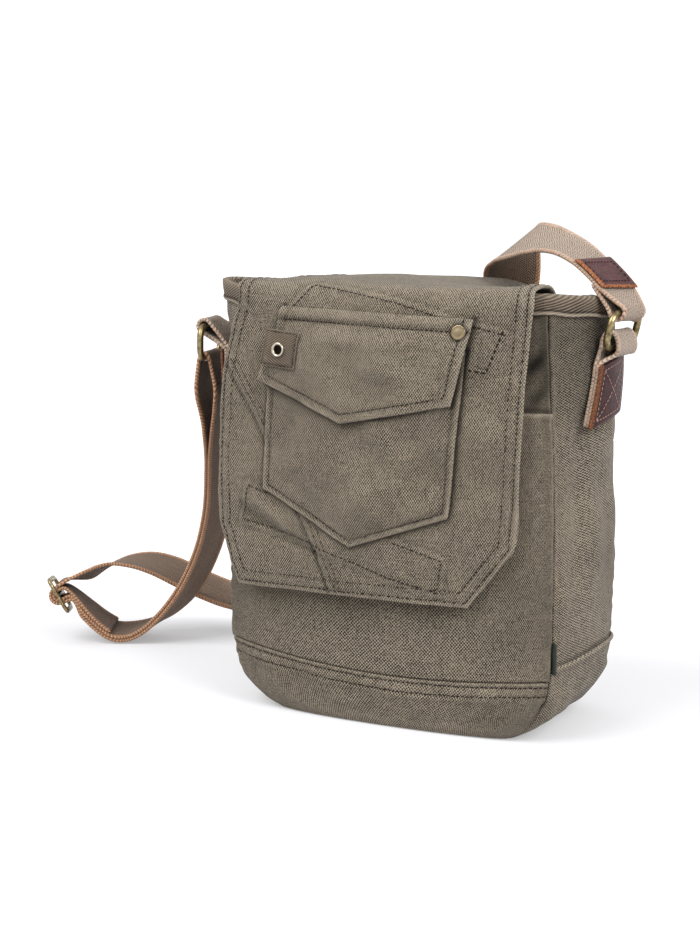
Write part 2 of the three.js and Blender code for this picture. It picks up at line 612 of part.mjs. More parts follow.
// Colours and finish of each kind of material.
function finish(color, roughness, metalness = 0) {
  return new THREE.MeshStandardMaterial({ color, roughness, metalness });
}
const FINISH = {
  canvas: finish(0x6e6857, 0.95),
  tape: finish(0x5f5848, 0.9),
  webbing: finish(0x7d6c5c, 0.92),
  leather: finish(0x4a3236, 0.5),
  brass: finish(0x9a8a5c, 0.38, 1),
  label: finish(0x23332a, 0.85),
};

const flat = (value) => () => value;
const POCKET_HEM = 207;
const POCKET_EASE = 1.2;
const pocketOut = (t, v) => WALL + GAP + POCKET_EASE * swell(t) * v * v;
const panel = (side, across, up) => wall(side, (t) => bandTop(side, t), (t) => rimAt(side, t), across, steps(up));
const slipPocket = () => wall(0, (t) => bandTop(0, t) + 1, flat(POCKET_HEM), 14, steps(6), pocketOut);

// The base bands share the heights of their corner rows, so that their facets meet.
const BAND_ROWS = 5;
function band(side, across) {
  const shared = steps(BAND_ROWS).map((v) => v * bandTop(0, 0) / bandTop(side, 0));
  const levels = shared[BAND_ROWS] < 1 ? [...shared, 1] : shared;
  return wall(side, flat(0), (t) => bandTop(side, t), across, levels);
}
const rightRoll = tabRoll(SIDES.right, RIGHT_RING.low, RIGHT_RING, 0, TAB.roll, TAB.more, TAB.rise);
const LEFT_TILT = 0.64;
const leftRoll = tabRoll(SIDES.left, upperBar(LEFT_RING), LEFT_RING, LEFT_TILT, WRAP + LOOSE, 0, 1);

const pieces = [
  { name: "front_panel", material: FINISH.canvas, shape: panel(0, 14, 8) },
  { name: "back_panel", material: FINISH.canvas, shape: panel(2, 14, 8) },
  { name: "gusset_right", material: FINISH.canvas, shape: panel(1, 12, 9) },
  { name: "gusset_left", material: FINISH.canvas, shape: panel(3, 12, 9) },
  { name: "base_front", material: FINISH.canvas, shape: band(0, 14) },
  { name: "base_back", material: FINISH.canvas, shape: band(2, 14) },
  { name: "base_right", material: FINISH.canvas, shape: band(1, 12) },
  { name: "base_left", material: FINISH.canvas, shape: band(3, 12) },
  { name: "bottom_panel", material: FINISH.canvas, shape: bottomPanel() },
  { name: "slip_pocket", material: FINISH.canvas, shape: slipPocket() },
  { name: "mouth_binding", material: FINISH.tape, shape: mouthBinding() },
  { name: "flap", material: FINISH.canvas, shape: flap() },
  { name: "flap_pocket", material: FINISH.canvas, shape: pouch() },
  { name: "pocket_flap", material: FINISH.canvas, shape: pouchFlap() },
  { name: "eyelet_tab", material: FINISH.tape, shape: eyeletTab() },
  { name: "eyelet", material: FINISH.brass, shape: eyelet() },
  { name: "rivet", material: FINISH.brass, shape: rivet() },
  { name: "side_label", material: FINISH.label, shape: sideLabel() },
  { name: "ring_right", material: FINISH.brass, shape: ring(RIGHT_RING) },
  { name: "ring_left", material: FINISH.brass, shape: ring(LEFT_RING) },
  { name: "tab_right", material: FINISH.webbing, shape: tab(SIDES.right, RIGHT_RING, rightRoll) },
  { name: "tab_left", material: FINISH.webbing, shape: tab(SIDES.left, LEFT_RING, leftRoll) },
  { name: "tab_patch_right", material: FINISH.leather, shape: tabPatch(SIDES.right, RIGHT_RING) },
  { name: "tab_patch_left", material: FINISH.leather, shape: tabPatch(SIDES.left, LEFT_RING) },
  { name: "strap_patch", material: FINISH.leather, shape: strapPatch() },
  { name: "slider", material: FINISH.brass, shape: slider() },
  { name: "shoulder_strap", material: FINISH.webbing, shape: shoulderStrap() },
];

const bag = new THREE.Group();
bag.name = "canvas_shoulder_bag";
for (const { name, material, shape } of pieces) {
  for (const extra of ["normal", "uv"]) shape.deleteAttribute(extra);
  const geometry = mergeVertices(shape, 1e-3);
  geometry.computeVertexNormals();
  const mesh = new THREE.Mesh(geometry, material);
  mesh.name = name;
  bag.add(mesh);
}
export default bag;
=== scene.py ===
"""Looks of a washed canvas shoulder bag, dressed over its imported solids. Shapes are in millimetres."""

import logging
import math
from dataclasses import dataclass
from enum import Enum
from functools import partial
from typing import Any, Callable, Optional, Sequence, Union

import bpy
import numpy as np
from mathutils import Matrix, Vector


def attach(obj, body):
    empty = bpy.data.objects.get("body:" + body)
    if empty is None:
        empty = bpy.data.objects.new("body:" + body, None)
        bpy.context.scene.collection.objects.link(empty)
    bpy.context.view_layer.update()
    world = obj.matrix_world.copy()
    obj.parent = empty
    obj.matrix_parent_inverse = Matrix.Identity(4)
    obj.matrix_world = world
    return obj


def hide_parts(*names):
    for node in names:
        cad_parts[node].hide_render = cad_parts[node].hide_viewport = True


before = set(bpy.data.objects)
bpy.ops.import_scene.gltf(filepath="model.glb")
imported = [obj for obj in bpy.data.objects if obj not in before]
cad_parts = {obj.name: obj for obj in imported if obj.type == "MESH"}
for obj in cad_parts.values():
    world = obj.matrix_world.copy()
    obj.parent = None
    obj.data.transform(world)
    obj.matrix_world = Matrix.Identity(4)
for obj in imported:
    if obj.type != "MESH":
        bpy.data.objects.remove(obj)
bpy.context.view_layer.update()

LOG = logging.getLogger("canvas_bag")
MM = 0.001
FLAT = "cloth"
GAP = 0.3
WALL = 1.8
WEBBING_WIDTH = 38.0
WEBBING_THICKNESS = 2.0
HALF_WEBBING = WEBBING_WIDTH / 2.0
WIRE_SIDES = 16
FULL_TURN = 2.0 * math.pi
UP = np.array([0.0, 0.0, 1.0])

Array = np.ndarray
Colour = tuple[float, float, float, float]
Rows = tuple[tuple[float, ...], ...]
Line = Sequence[tuple[float, float]]
StitchRow = tuple[Array, Array]
Key = Union[int, str]


class Slot(Enum):
    """Material slots of the record."""

    CANVAS = "canvas"
    TAPE = "tape"
    WEBBING = "webbing"
    LEATHER = "leather"
    BRASS = "brass"
    LABEL = "label"


class Side(Enum):
    """Faces of the body, anticlockwise from above."""

    FRONT = 0
    RIGHT = 1
    BACK = 2
    LEFT = 3

    @property
    def word(self) -> str:
        """The side's name in the pieces."""
        return self.name.lower()

    @property
    def gusset(self) -> bool:
        """Whether the side is one of the two narrow ones."""
        return self in (Side.LEFT, Side.RIGHT)


# Numbers, lines and unevenness

def clamp01(value: Array) -> Array:
    """Value held between 0 and 1."""
    return np.clip(value, 0.0, 1.0)


def smooth(value: Array) -> Array:
    """Soft step from 0 to 1."""
    held = clamp01(value)
    return held * held * (3.0 - 2.0 * held)


def swell(t: Array) -> Array:
    """Rise from 0 to 1 and back over t in 0 to 1."""
    return np.sin(np.pi * clamp01(t)) ** 2


def bell(distance: Array, width: float) -> Array:
    """Smooth hump of height 1 about a distance of 0."""
    return np.exp(-(distance / width) ** 2)


def mix(first: Any, second: Any, t: Any) -> Any:
    """Straight blend of two values."""
    return first + (second - first) * t


def hermite(start: Array, end: Array, leave: Array, arrive: Array, t: Array) -> Array:
    """Cubic between two values with given slopes."""
    h = 2 * t ** 3 - 3 * t ** 2
    return (h + 1) * start - h * end + (t ** 3 - 2 * t ** 2 + t) * leave + (t ** 3 - t ** 2) * arrive


def unit(vectors: Array) -> Array:
    """Vectors at length 1."""
    return vectors / np.maximum(np.linalg.norm(vectors, axis=-1, keepdims=True), 1e-12)


def direction(*parts: float) -> Array:
    """Unit vector of three numbers."""
    return unit(np.array(parts, dtype=float))


def squared(vectors: Array, along: Array) -> Array:
    """Directions turned square to unit directions."""
    return unit(vectors - along * np.sum(vectors * along, axis=-1, keepdims=True))


def beside(*parts: Any) -> Array:
    """Numbers of matching shapes side by side on a last axis."""
    return np.stack(np.broadcast_arrays(*parts), axis=-1)


def running(points: Array, axis: int = 0) -> Array:
    """Distance along lines of points, 0 at their start."""
    passed = np.cumsum(np.linalg.norm(np.diff(points, axis=axis), axis=-1), axis=axis)
    return np.concatenate([0.0 * np.take(passed, [0], axis=axis), passed], axis=axis)


def read_line(at: Array, reach: Array, points: Array) -> Array:
    """Points at distances along a line, from the distance of each of its own points."""
    return np.stack([np.interp(at, reach, column) for column in points.T], axis=-1)


def around(count: int) -> Array:
    """Even angles of a full turn."""
    return np.arange(count) * FULL_TURN / count


def roping(along: Array, pitch: float, stray: float, wander: float) -> Array:
    """Wave from -1 to 1 along a puckered hem, its crests straying about their even places."""
    return np.sin(along * pitch + stray * np.sin(along * wander))


def ripple(flat: Array, wavelength: float, seed: int) -> Array:
    """Seeded smooth unevenness over flat cloth, with a standard deviation of about 1.

    Args:
        flat: places on the cloth, last axis of two.
        wavelength: usual distance between crests.
        seed: which unevenness.

    Returns:
        One number for each place.
    """
    waves = 14
    rng = np.random.default_rng(seed)
    total = np.zeros(flat.shape[:-1])
    for _ in range(waves):
        angle = rng.uniform(0.0, FULL_TURN)
        step = FULL_TURN / (wavelength * rng.uniform(0.7, 1.5))
        along = flat[..., 0] * math.cos(angle) + flat[..., 1] * math.sin(angle)
        total += np.sin(along * step + rng.uniform(0.0, FULL_TURN))
    return total * math.sqrt(2.0 / waves)


def uneven(flat: Array, *waves: tuple[float, int, float]) -> Array:
    """Sum of ripples, each given by its wavelength, its seed and its height."""
    return sum(height * ripple(flat, wavelength, seed) for wavelength, seed, height in waves)


def line_distance(flat: Array, line: Line) -> Array:
    """Shortest distance from flat places to a line of straight stretches."""
    points = np.array(line, dtype=float)
    best = np.full(flat.shape[:-1], np.inf)
    for start, end in zip(points[:-1], points[1:]):
        along = end - start
        t = clamp01(((flat - start) @ along) / max(along @ along, 1e-12))
        gap = flat - (start + t[..., None] * along)
        best = np.minimum(best, np.hypot(gap[..., 0], gap[..., 1]))
    return best


def inside_patch(flat: Array, corners: Line) -> Array:
    """How far flat places lie inside a convex patch given clockwise; negative outside it."""
    points = np.array(corners, dtype=float)
    best = np.full(flat.shape[:-1], np.inf)
    for start, end in zip(points, np.roll(points, -1, axis=0)):
        along = unit(end - start)
        gap = flat - start
        best = np.minimum(best, gap[..., 0] * along[1] - gap[..., 1] * along[0])
    return best


def fine_line(line: Line, step: float = 1.5) -> Array:
    """A line of straight stretches as close points."""
    points = np.array(line, dtype=float)
    reach = running(points)
    return read_line(np.linspace(0.0, reach[-1], max(2, int(reach[-1] / step) + 1)), reach, points)


def inset_line(line: Line, distance: float) -> list[tuple[float, float]]:
    """A line moved to its left by a distance, with mitred corners."""
    sharpest = 0.3
    points = np.array(line, dtype=float)
    along = unit(np.diff(points, axis=0))
    left = beside(-along[:, 1], along[:, 0])
    before = np.concatenate([left[:1], left])
    after = np.concatenate([left, left[-1:]])
    corner = unit(before + after)
    spread = distance / np.maximum(np.sum(corner * after, axis=-1, keepdims=True), sharpest)
    return [tuple(p) for p in points + corner * spread]


def rounded_frame(half_wide: float, half_tall: float, corner: float, turns: int) -> Array:
    """Close points once round a rectangle with rounded corners.

    Args:
        half_wide: half its width.
        half_tall: half its height.
        corner: radius of its corners.
        turns: points in each corner.

    Returns:
        Two numbers for each point.
    """
    x, y = half_wide - corner, half_tall - corner
    spots = []
    for turn, centre in enumerate(((x, y), (-x, y), (-x, -y), (x, -y))):
        angle = (turn + np.linspace(0.0, 1.0, turns)) * math.pi / 2.0
        spots.append(centre + corner * beside(np.cos(angle), np.sin(angle)))
    return fine_line(np.concatenate([*spots, spots[0][:1]]))[:-1]


def stops(length: float, step: float) -> Array:
    """Even stops from 0 to 1 for a length, with closer ones near both ends."""
    rim, clear = 1.6, 1.4
    near = np.array([0.0, 0.1, 0.3, 0.62, 1.0]) * rim / length
    even = np.linspace(0.0, 1.0, max(2, round(length / step)) + 1)
    middle = even[(even > near[-1] * clear) & (even < 1.0 - near[-1] * clear)]
    return np.concatenate([near, middle, 1.0 - near[::-1]])


@dataclass(frozen=True)
class Table:
    """Rows of numbers, the first of each a key, read smoothly between the rows."""

    rows: Rows

    def read(self, key: Array) -> Array:
        """Every other column at a key.

        Args:
            key: keys of any shape.

        Returns:
            Columns first, then the keys' shape.
        """
        data = np.array(sorted(self.rows), dtype=float)
        keys, values = data[:, 0], data[:, 1:]
        slopes = np.empty_like(values)
        slopes[1:-1] = (values[2:] - values[:-2]) / (keys[2:] - keys[:-2])[:, None]
        slopes[0] = (values[1] - values[0]) / (keys[1] - keys[0])
        slopes[-1] = (values[-1] - values[-2]) / (keys[-1] - keys[-2])
        i = np.clip(np.searchsorted(keys, key) - 1, 0, len(keys) - 2)
        span = (keys[i + 1] - keys[i])[..., None]
        t = clamp01((np.asarray(key, dtype=float) - keys[i])[..., None] / span)
        found = hermite(values[i], values[i + 1], slopes[i] * span, slopes[i + 1] * span, t)
        return np.moveaxis(found, -1, 0)


# Shader nodes

def math_operator(operation: str, reflected: bool = False) -> Callable[["Field", Any], "Field"]:
    """An operator that adds a Math node of two values.

    Args:
        operation: what the node does.
        reflected: whether the other value comes first.

    Returns:
        The operator's method.
    """
    def apply(field: "Field", other: Any) -> "Field":
        """Adds the node."""
        return field.shader.math(operation, *((other, field) if reflected else (field, other)))

    return apply


class Field:
    """A shader socket that adds Math nodes when it takes part in an expression."""

    __add__ = math_operator("ADD")
    __radd__ = math_operator("ADD", True)
    __sub__ = math_operator("SUBTRACT")
    __rsub__ = math_operator("SUBTRACT", True)
    __mul__ = math_operator("MULTIPLY")
    __rmul__ = math_operator("MULTIPLY", True)
    __truediv__ = math_operator("DIVIDE")

    def __init__(self, shader: "Shader", node: bpy.types.Node, output: Key) -> None:
        """Wraps one output of a node."""
        self.shader = shader
        self.node = node
        self.socket = node.outputs[output]

    def __abs__(self) -> "Field":
        """Size without sign."""
        return self.shader.math("ABSOLUTE", self)

    def output(self, output: Key) -> "Field":
        """Another output of the same node."""
        return Field(self.shader, self.node, output)


class Shader:
    """The node tree of one finish."""

    def __init__(self, name: str) -> None:
        """Starts an empty material."""
        self.material = bpy.data.materials.new(name)
        self.material.use_nodes = True
        self.tree = self.material.node_tree
        self.tree.nodes.clear()

    def node(
        self,
        kind: str,
        settings: Optional[dict[str, Any]] = None,
        sockets: Optional[dict[Key, Any]] = None,
        output: Key = 0,
    ) -> Field:
        """Adds a node.

        Args:
            kind: the node's type.
            settings: its properties, set first.
            sockets: values or links of its inputs.
            output: the output to hand back.

        Returns:
            That output.
        """
        made = self.tree.nodes.new(kind)
        for key, value in (settings or {}).items():
            setattr(made, key, value)
        for key, value in (sockets or {}).items():
            if isinstance(value, Field):
                self.tree.links.new(value.socket, made.inputs[key])
            else:
                made.inputs[key].default_value = value
        return Field(self, made, output)

    def math(self, operation: str, *values: Any, clamp: bool = False) -> Field:
        """A Math node of some values."""
        settings = {"operation": operation, "use_clamp": clamp}
        return self.node("ShaderNodeMath", settings, dict(enumerate(values)))

    def flat(self) -> tuple[Field, Field]:
        """Place on the flat cloth in millimetres: across and along."""
        place = self.node("ShaderNodeUVMap", {"uv_map": FLAT})
        across = self.node("ShaderNodeSeparateXYZ", {}, {0: place})
        return across, across.output(1)

    def place(self, across: Any, along: Any, seed: float) -> Field:
        """A place for a texture."""
        return self.node("ShaderNodeCombineXYZ", {}, {0: across, 1: along, 2: seed})

    def paint(self, name: str) -> Field:
        """What a mesh attribute holds."""
        return self.node("ShaderNodeAttribute", {"attribute_name": name}, output="Fac")

    def wave(self, value: Field, length: float) -> Field:
        """Sine wave from -1 to 1, so long from crest to crest."""
        return self.math("SINE", value * (FULL_TURN / length))

    def held(self, value: Field) -> Field:
        """Value held between 0 and 1."""
        return self.math("ADD", value, 0.0, clamp=True)

    def between(self, value: Field, low: float, high: float) -> Field:
        """Straight rise from 0 at low to 1 at high."""
        return self.held((value - low) / (high - low))

    def noise(self, across: Any, along: Any, detail: float = 2.0, seed: float = 0.0) -> Field:
        """Cloudy unevenness from 0 to 1 over two scaled places."""
        sockets = {"Vector": self.place(across, along, seed), "Scale": 1.0, "Detail": detail}
        return self.node("ShaderNodeTexNoise", {}, sockets)

    def blend(self, first: Any, second: Any, factor: Any) -> Field:
        """Blend of two colours."""
        settings = {"data_type": "RGBA", "clamp_factor": True}
        return self.node("ShaderNodeMix", settings, {0: factor, 6: first, 7: second}, 2)

    def bump(self, height: Field, strength: float, depth: float) -> Field:
        """Normal of a height field whose unit is depth millimetres."""
        sockets = {"Strength": strength, "Distance": depth * MM, "Height": height}
        return self.node("ShaderNodeBump", {}, sockets)

    def surface(self, sockets: dict[Key, Any]) -> bpy.types.Material:
        """Ends the tree in a Principled surface.

        Args:
            sockets: the surface's values and links.

        Returns:
            The finished material.
        """
        body = self.node("ShaderNodeBsdfPrincipled", {}, sockets)
        end = self.tree.nodes.new("ShaderNodeOutputMaterial")
        self.tree.links.new(body.socket, end.inputs["Surface"])
        return self.material


def srgb(red: float, green: float, blue: float) -> Colour:
    """Linear colour of a screen colour from 0 to 255."""
    parts = [c / 255.0 for c in (red, green, blue)]
    linear = [c / 12.92 if c <= 0.04045 else ((c + 0.055) / 1.055) ** 2.4 for c in parts]
    return (*linear, 1.0)


# Finishes

@dataclass(frozen=True)
class CanvasFinish:
    """Heavy plain-weave canvas, garment washed: pale thread crowns on a dark ground, paler rubbed edges with
    some painted highlights, and painted shade in creases and seams.
    """

    name: str = "washed_canvas"
    dark: Colour = srgb(14, 12, 10)
    light: Colour = srgb(134, 123, 107)
    # Colour of rubbed edges and of painted highlights on ridges.
    worn_and_highlight: Colour = srgb(144, 133, 117)
    # Colour of painted shade.
    deep: Colour = srgb(20, 17, 13)
    across: float = 0.8
    along: float = 1.12
    relief: float = 0.36

    def material(self) -> bpy.types.Material:
        """Weave, slubs, heather and fading over the flat cloth, with painted highlights and painted shade."""
        shader = Shader(self.name)
        u, v = shader.flat()
        weave = shader.wave(u, 2.0 * self.across) * shader.wave(v, 2.0 * self.along)
        warp = shader.noise(u * 0.95, v * 0.1, 1.0, 3.1) - 0.5
        weft = shader.noise(u * 0.1, v * 0.95, 1.0, 7.7) - 0.5
        heather = shader.noise(u * 1.5, v * 1.5, 2.0, 1.3) - 0.5
        fade = shader.noise(u * 0.028, v * 0.028, 3.0, 5.0) - 0.5
        crown = weave * (shader.noise(u * 0.45, v * 0.45, 1.0, 6.6) * 1.7 + 0.05)
        grain = 0.43 + crown + (warp + weft) * 0.4 + heather * 2.7 + fade * 0.5
        colour = shader.blend(self.dark, self.light, shader.held(grain))
        # Lighter where rubbed, and painted highlights on lit crease ridges.
        worn_and_highlight = shader.paint("wear") * (0.55 + weave * 0.4 + heather * 1.2)
        colour = shader.blend(colour, self.worn_and_highlight, shader.held(worn_and_highlight))
        # Painted shade: darker along seams, creases and stitch grooves, and in shadows under overlapping
        # pieces.
        colour = shader.blend(colour, self.deep, shader.held(shader.paint("shade") * (1.0 + heather)))
        height = weave * 0.6 + (warp + weft) * 0.6 + heather * 0.6
        return shader.surface({
            "Base Color": colour,
            "Roughness": shader.held(0.92 + heather * 0.2),
            "Specular IOR Level": 0.15,
            "Sheen Weight": 0.06,
            "Sheen Roughness": 0.5,
            "Normal": shader.bump(height, 0.8, self.relief),
        })


@dataclass(frozen=True)
class TapeFinish:
    """Twill tape: slanting ribs, straight or turned back part-way up as herringbone."""

    name: str
    rib: float = 1.7
    slant: float = -0.34
    turn: float = 0.0
    turn_from: float = 0.0
    dark: Colour = srgb(32, 27, 22)
    light: Colour = srgb(118, 105, 91)
    worn_and_highlight: Colour = srgb(150, 138, 122)
    # Colour of painted shade.
    deep: Colour = srgb(20, 16, 12)

    def material(self) -> bpy.types.Material:
        """Ribs, thread noise, rubbed places and painted shade over the flat tape."""
        shader = Shader(self.name)
        u, v = shader.flat()
        climb = v
        if self.turn:
            climb = shader.math("PINGPONG", v - self.turn_from, self.turn)
        rib = shader.wave(u * self.slant + climb, self.rib)
        heather = shader.noise(u * 1.3, v * 1.3, 2.0, 2.2) - 0.5
        fade = shader.noise(u * 0.05, v * 0.05, 2.0, 9.0) - 0.5
        grain = shader.held(0.5 + rib * 0.44 + heather * 0.9 + fade * 0.5)
        colour = shader.blend(self.dark, self.light, grain)
        colour = shader.blend(colour, self.worn_and_highlight, shader.held(shader.paint("wear")))
        # Painted shade in the binding's groove and along the tab's stitch line.
        colour = shader.blend(colour, self.deep, shader.held(shader.paint("shade")))
        return shader.surface({
            "Base Color": colour,
            "Roughness": shader.held(0.9 + heather * 0.2),
            "Specular IOR Level": 0.15,
            "Normal": shader.bump(rib * 0.7 + heather * 0.6, 0.8, 0.36),
        })


@dataclass(frozen=True)
class WebbingFinish:
    """Heavy cotton webbing: bold herringbone ground and twisted, rust-dyed selvedges."""

    name: str = "cotton_webbing"
    dark: Colour = srgb(62, 47, 37)
    light: Colour = srgb(138, 117, 100)
    rust_dark: Colour = srgb(92, 60, 43)
    rust_light: Colour = srgb(192, 150, 118)
    # Colour of paling, also used for painted light on the strap's arch.
    pale: Colour = srgb(162, 148, 135)
    deep: Colour = srgb(30, 22, 17)
    selvedge: float = 15.9
    rib: float = 2.0
    chevron: float = 3.6
    lean: float = 1.1
    cord: float = 1.55
    twist: float = 2.3

    def material(self) -> bpy.types.Material:
        """Ribs, selvedges and fading over the flat webbing, the fading partly painted light on the strap's
        arch.
        """
        shader = Shader(self.name)
        u, v = shader.flat()
        fold = shader.math("PINGPONG", u + self.chevron * 30.0, self.chevron)
        rib = shader.wave(fold * self.lean + v, self.rib)
        cord = shader.wave(u, self.cord)
        heather = shader.noise(u * 1.2, v * 1.2, 2.0, 4.4) - 0.5
        fade = shader.noise(u * 0.05, v * 0.016, 3.0, 6.0) - 0.5
        grain = shader.held(0.46 + rib * 0.3 + cord * 0.08 + heather * 0.8 + fade * 0.5)
        ground = shader.blend(self.dark, self.light, grain)
        twist = shader.wave(u * 0.8 + v, self.twist)
        rust = shader.blend(self.rust_dark, self.rust_light, shader.held(0.55 + twist * 0.3 + heather * 0.9))
        border = shader.between(abs(u) + heather * 0.8, self.selvedge - 0.3, self.selvedge + 0.3)
        colour = shader.blend(ground, rust, border)
        # Paler where rubbed, and on the strap's arch partly painted light from above.
        worn_and_highlight = shader.held(shader.paint("wear") * (1.0 + rib * 0.7 + heather * 2.0))
        colour = shader.blend(colour, self.pale, worn_and_highlight)
        colour = shader.blend(colour, self.deep, shader.held(shader.paint("shade")))
        height = rib * 0.6 * (1.0 - border) + cord * 0.2 + twist * 0.8 * border + heather * 0.5
        return shader.surface({
            "Base Color": colour,
            "Roughness": shader.held(0.88 + heather * 0.2),
            "Specular IOR Level": 0.15,
            "Sheen Weight": 0.06,
            "Normal": shader.bump(height, 0.85, 0.42),
        })


@dataclass(frozen=True)
class LeatherFinish:
    """Oiled plum-brown leather with raw, fibrous tan edges."""

    name: str = "plum_leather"
    dark: Colour = srgb(37, 13, 15)
    light: Colour = srgb(80, 40, 42)
    raw_dark: Colour = srgb(66, 31, 17)
    raw_light: Colour = srgb(164, 106, 70)
    # Colour of painted shade.
    deep: Colour = srgb(14, 7, 7)
    pebbles: float = 0.85

    def material(self) -> bpy.types.Material:
        """Grain, scuffs, raw edges and painted shade over the flat hide."""
        shader = Shader(self.name)
        u, v = shader.flat()
        sockets = {"Vector": shader.place(u, v, 0.5), "Scale": self.pebbles}
        cells = shader.node("ShaderNodeTexVoronoi", {"feature": "DISTANCE_TO_EDGE"}, sockets)
        pebble = shader.between(cells, 0.0, 0.16)
        cloud = shader.noise(u * 0.14, v * 0.14, 4.0, 2.0)
        scuff = shader.between(shader.noise(u * 0.5, v * 0.08, 4.0, 8.0), 0.52, 0.75)
        fibre = shader.noise(u * 0.9, v * 0.9, 4.0, 5.0)
        tone = shader.held(cloud * 1.5 - 0.42 + pebble * 0.14 + scuff * 0.3)
        hide = shader.blend(self.dark, self.light, tone)
        raw = shader.blend(self.raw_dark, self.raw_light, shader.between(fibre, 0.34, 0.68))
        bare = shader.held(shader.paint("wear") * (1.0 + (fibre - 0.5) * 1.2))
        colour = shader.blend(hide, raw, bare)
        # Painted shade on the tab patches and along the stitched borders.
        colour = shader.blend(colour, self.deep, shader.held(shader.paint("shade")))
        return shader.surface({
            "Base Color": colour,
            "Roughness": shader.held(0.3 + scuff * 0.2 + bare * 0.5),
            "Specular IOR Level": 0.12,
            "Normal": shader.bump(pebble * 0.4 + fibre * 1.2 * bare + cloud * 0.3, 0.6, 0.3),
        })


@dataclass(frozen=True)
class BrassFinish:
    """Antiqued brass: rubbed bright on the crowns, brown where hands don't reach, with painted shade at the
    foot of turned pieces.
    """

    name: str
    bright: Colour
    brown: Colour

    def material(self) -> bpy.types.Material:
        """Oxide clouds, painted shade and fine scratches over the cast metal."""
        shader = Shader(self.name)
        u, v = shader.flat()
        cloud = shader.noise(u * 0.35, v * 0.35, 4.0, 1.0)
        scratch = shader.noise(u * 0.3, v * 4.0, 2.0, 3.0)
        # Brown clouds of oxide, and painted shade where the shade attribute marks the foot of turned pieces.
        brown = shader.between(cloud, 0.3, 0.66) * 0.8 + shader.paint("shade")
        patina_and_shade = shader.held(brown - shader.paint("wear"))
        colour = shader.blend(self.bright, self.brown, patina_and_shade)
        return shader.surface({
            "Base Color": colour,
            "Metallic": 1.0,
            "Roughness": shader.held(0.28 + patina_and_shade * 0.22 + (scratch - 0.5) * 0.16),
            "Normal": shader.bump(cloud * 0.4 + scratch * 0.3, 0.25, 0.12),
        })


@dataclass(frozen=True)
class ThreadFinish:
    """Waxed sewing thread with a two-ply twist."""

    name: str
    dark: Colour
    light: Colour

    def material(self) -> bpy.types.Material:
        """Twist and uneven dye along the thread."""
        shader = Shader(self.name)
        u, v = shader.flat()
        twist = shader.wave(u * 3.0 + v * 5.0, math.pi)
        dye = shader.noise(u * 0.3, v * 0.3, 2.0, 2.0)
        colour = shader.blend(self.dark, self.light, shader.held(dye + twist * 0.22))
        return shader.surface({
            "Base Color": colour,
            "Roughness": 0.8,
            "Specular IOR Level": 0.1,
            "Normal": shader.bump(twist, 0.4, 0.1),
        })


@dataclass(frozen=True)
class RibbonFinish:
    """Narrow woven ribbon with fine cross ribs."""

    name: str = "green_ribbon"
    dark: Colour = srgb(9, 14, 11)
    light: Colour = srgb(30, 41, 34)
    rib: float = 0.8

    def material(self) -> bpy.types.Material:
        """Cross ribs and thread noise over the ribbon."""
        shader = Shader(self.name)
        u, v = shader.flat()
        rib = shader.wave(v, self.rib)
        heather = shader.noise(u * 1.6, v * 1.6, 2.0, 2.0) - 0.5
        colour = shader.blend(self.dark, self.light, shader.held(0.4 + rib * 0.18 + heather * 0.8))
        return shader.surface({
            "Base Color": colour,
            "Roughness": shader.held(0.75 + heather * 0.2),
            "Normal": shader.bump(rib, 0.6, 0.15),
        })


@dataclass(frozen=True)
class FloorFinish:
    """Matt white studio paper with a trace of fibre, lit a little from below."""

    name: str = "studio_paper"
    white: Colour = (0.45, 0.45, 0.465, 1.0)
    dim: Colour = (0.44, 0.44, 0.455, 1.0)
    glow: float = 0.31

    def material(self) -> bpy.types.Material:
        """Faint fibre in the paper."""
        shader = Shader(self.name)
        place = shader.node("ShaderNodeTexCoord", output="Object")
        fibre = shader.node("ShaderNodeTexNoise", {}, {"Vector": place, "Scale": 6.0, "Detail": 3.0})
        colour = shader.blend(self.white, self.dim, fibre)
        return shader.surface({
            "Base Color": colour,
            "Roughness": 0.95,
            "Specular IOR Level": 0.05,
            "Emission Color": (1.0, 1.0, 1.0, 1.0),
            "Emission Strength": self.glow,
        })


class Finishes:
    """The materials that the pieces share."""

    def __init__(self) -> None:
        """Makes every finish of the bag once."""
        self.canvas = CanvasFinish().material()
        self.tape = TapeFinish("binding_twill").material()
        self.herringbone = TapeFinish("herringbone_tab", 1.5, 0.6, 12.0, 228.0).material()
        self.webbing = WebbingFinish().material()
        self.leather = LeatherFinish().material()
        self.brass = BrassFinish("antique_brass", srgb(164, 147, 108), srgb(54, 45, 30)).material()
        self.pale_brass = BrassFinish("rubbed_brass", srgb(194, 185, 168), srgb(90, 80, 64)).material()
        self.bronze = BrassFinish("dull_bronze", srgb(126, 113, 90), srgb(82, 71, 54)).material()
        # Thread darkened towards black, partly painted shade of the stitch holes.
        self.dark_thread_painted_shade = ThreadFinish("dark_thread_painted_shade", srgb(14, 12, 9), srgb(40, 34, 27)).material()
        self.faded_thread = ThreadFinish("faded_thread", srgb(46, 40, 33), srgb(78, 69, 58)).material()
        self.plum_thread = ThreadFinish("plum_thread", srgb(20, 9, 10), srgb(48, 26, 26)).material()
        self.pale_thread = ThreadFinish("tan_thread", srgb(104, 78, 70), srgb(158, 128, 118)).material()
        self.ribbon = RibbonFinish().material()


# Meshes

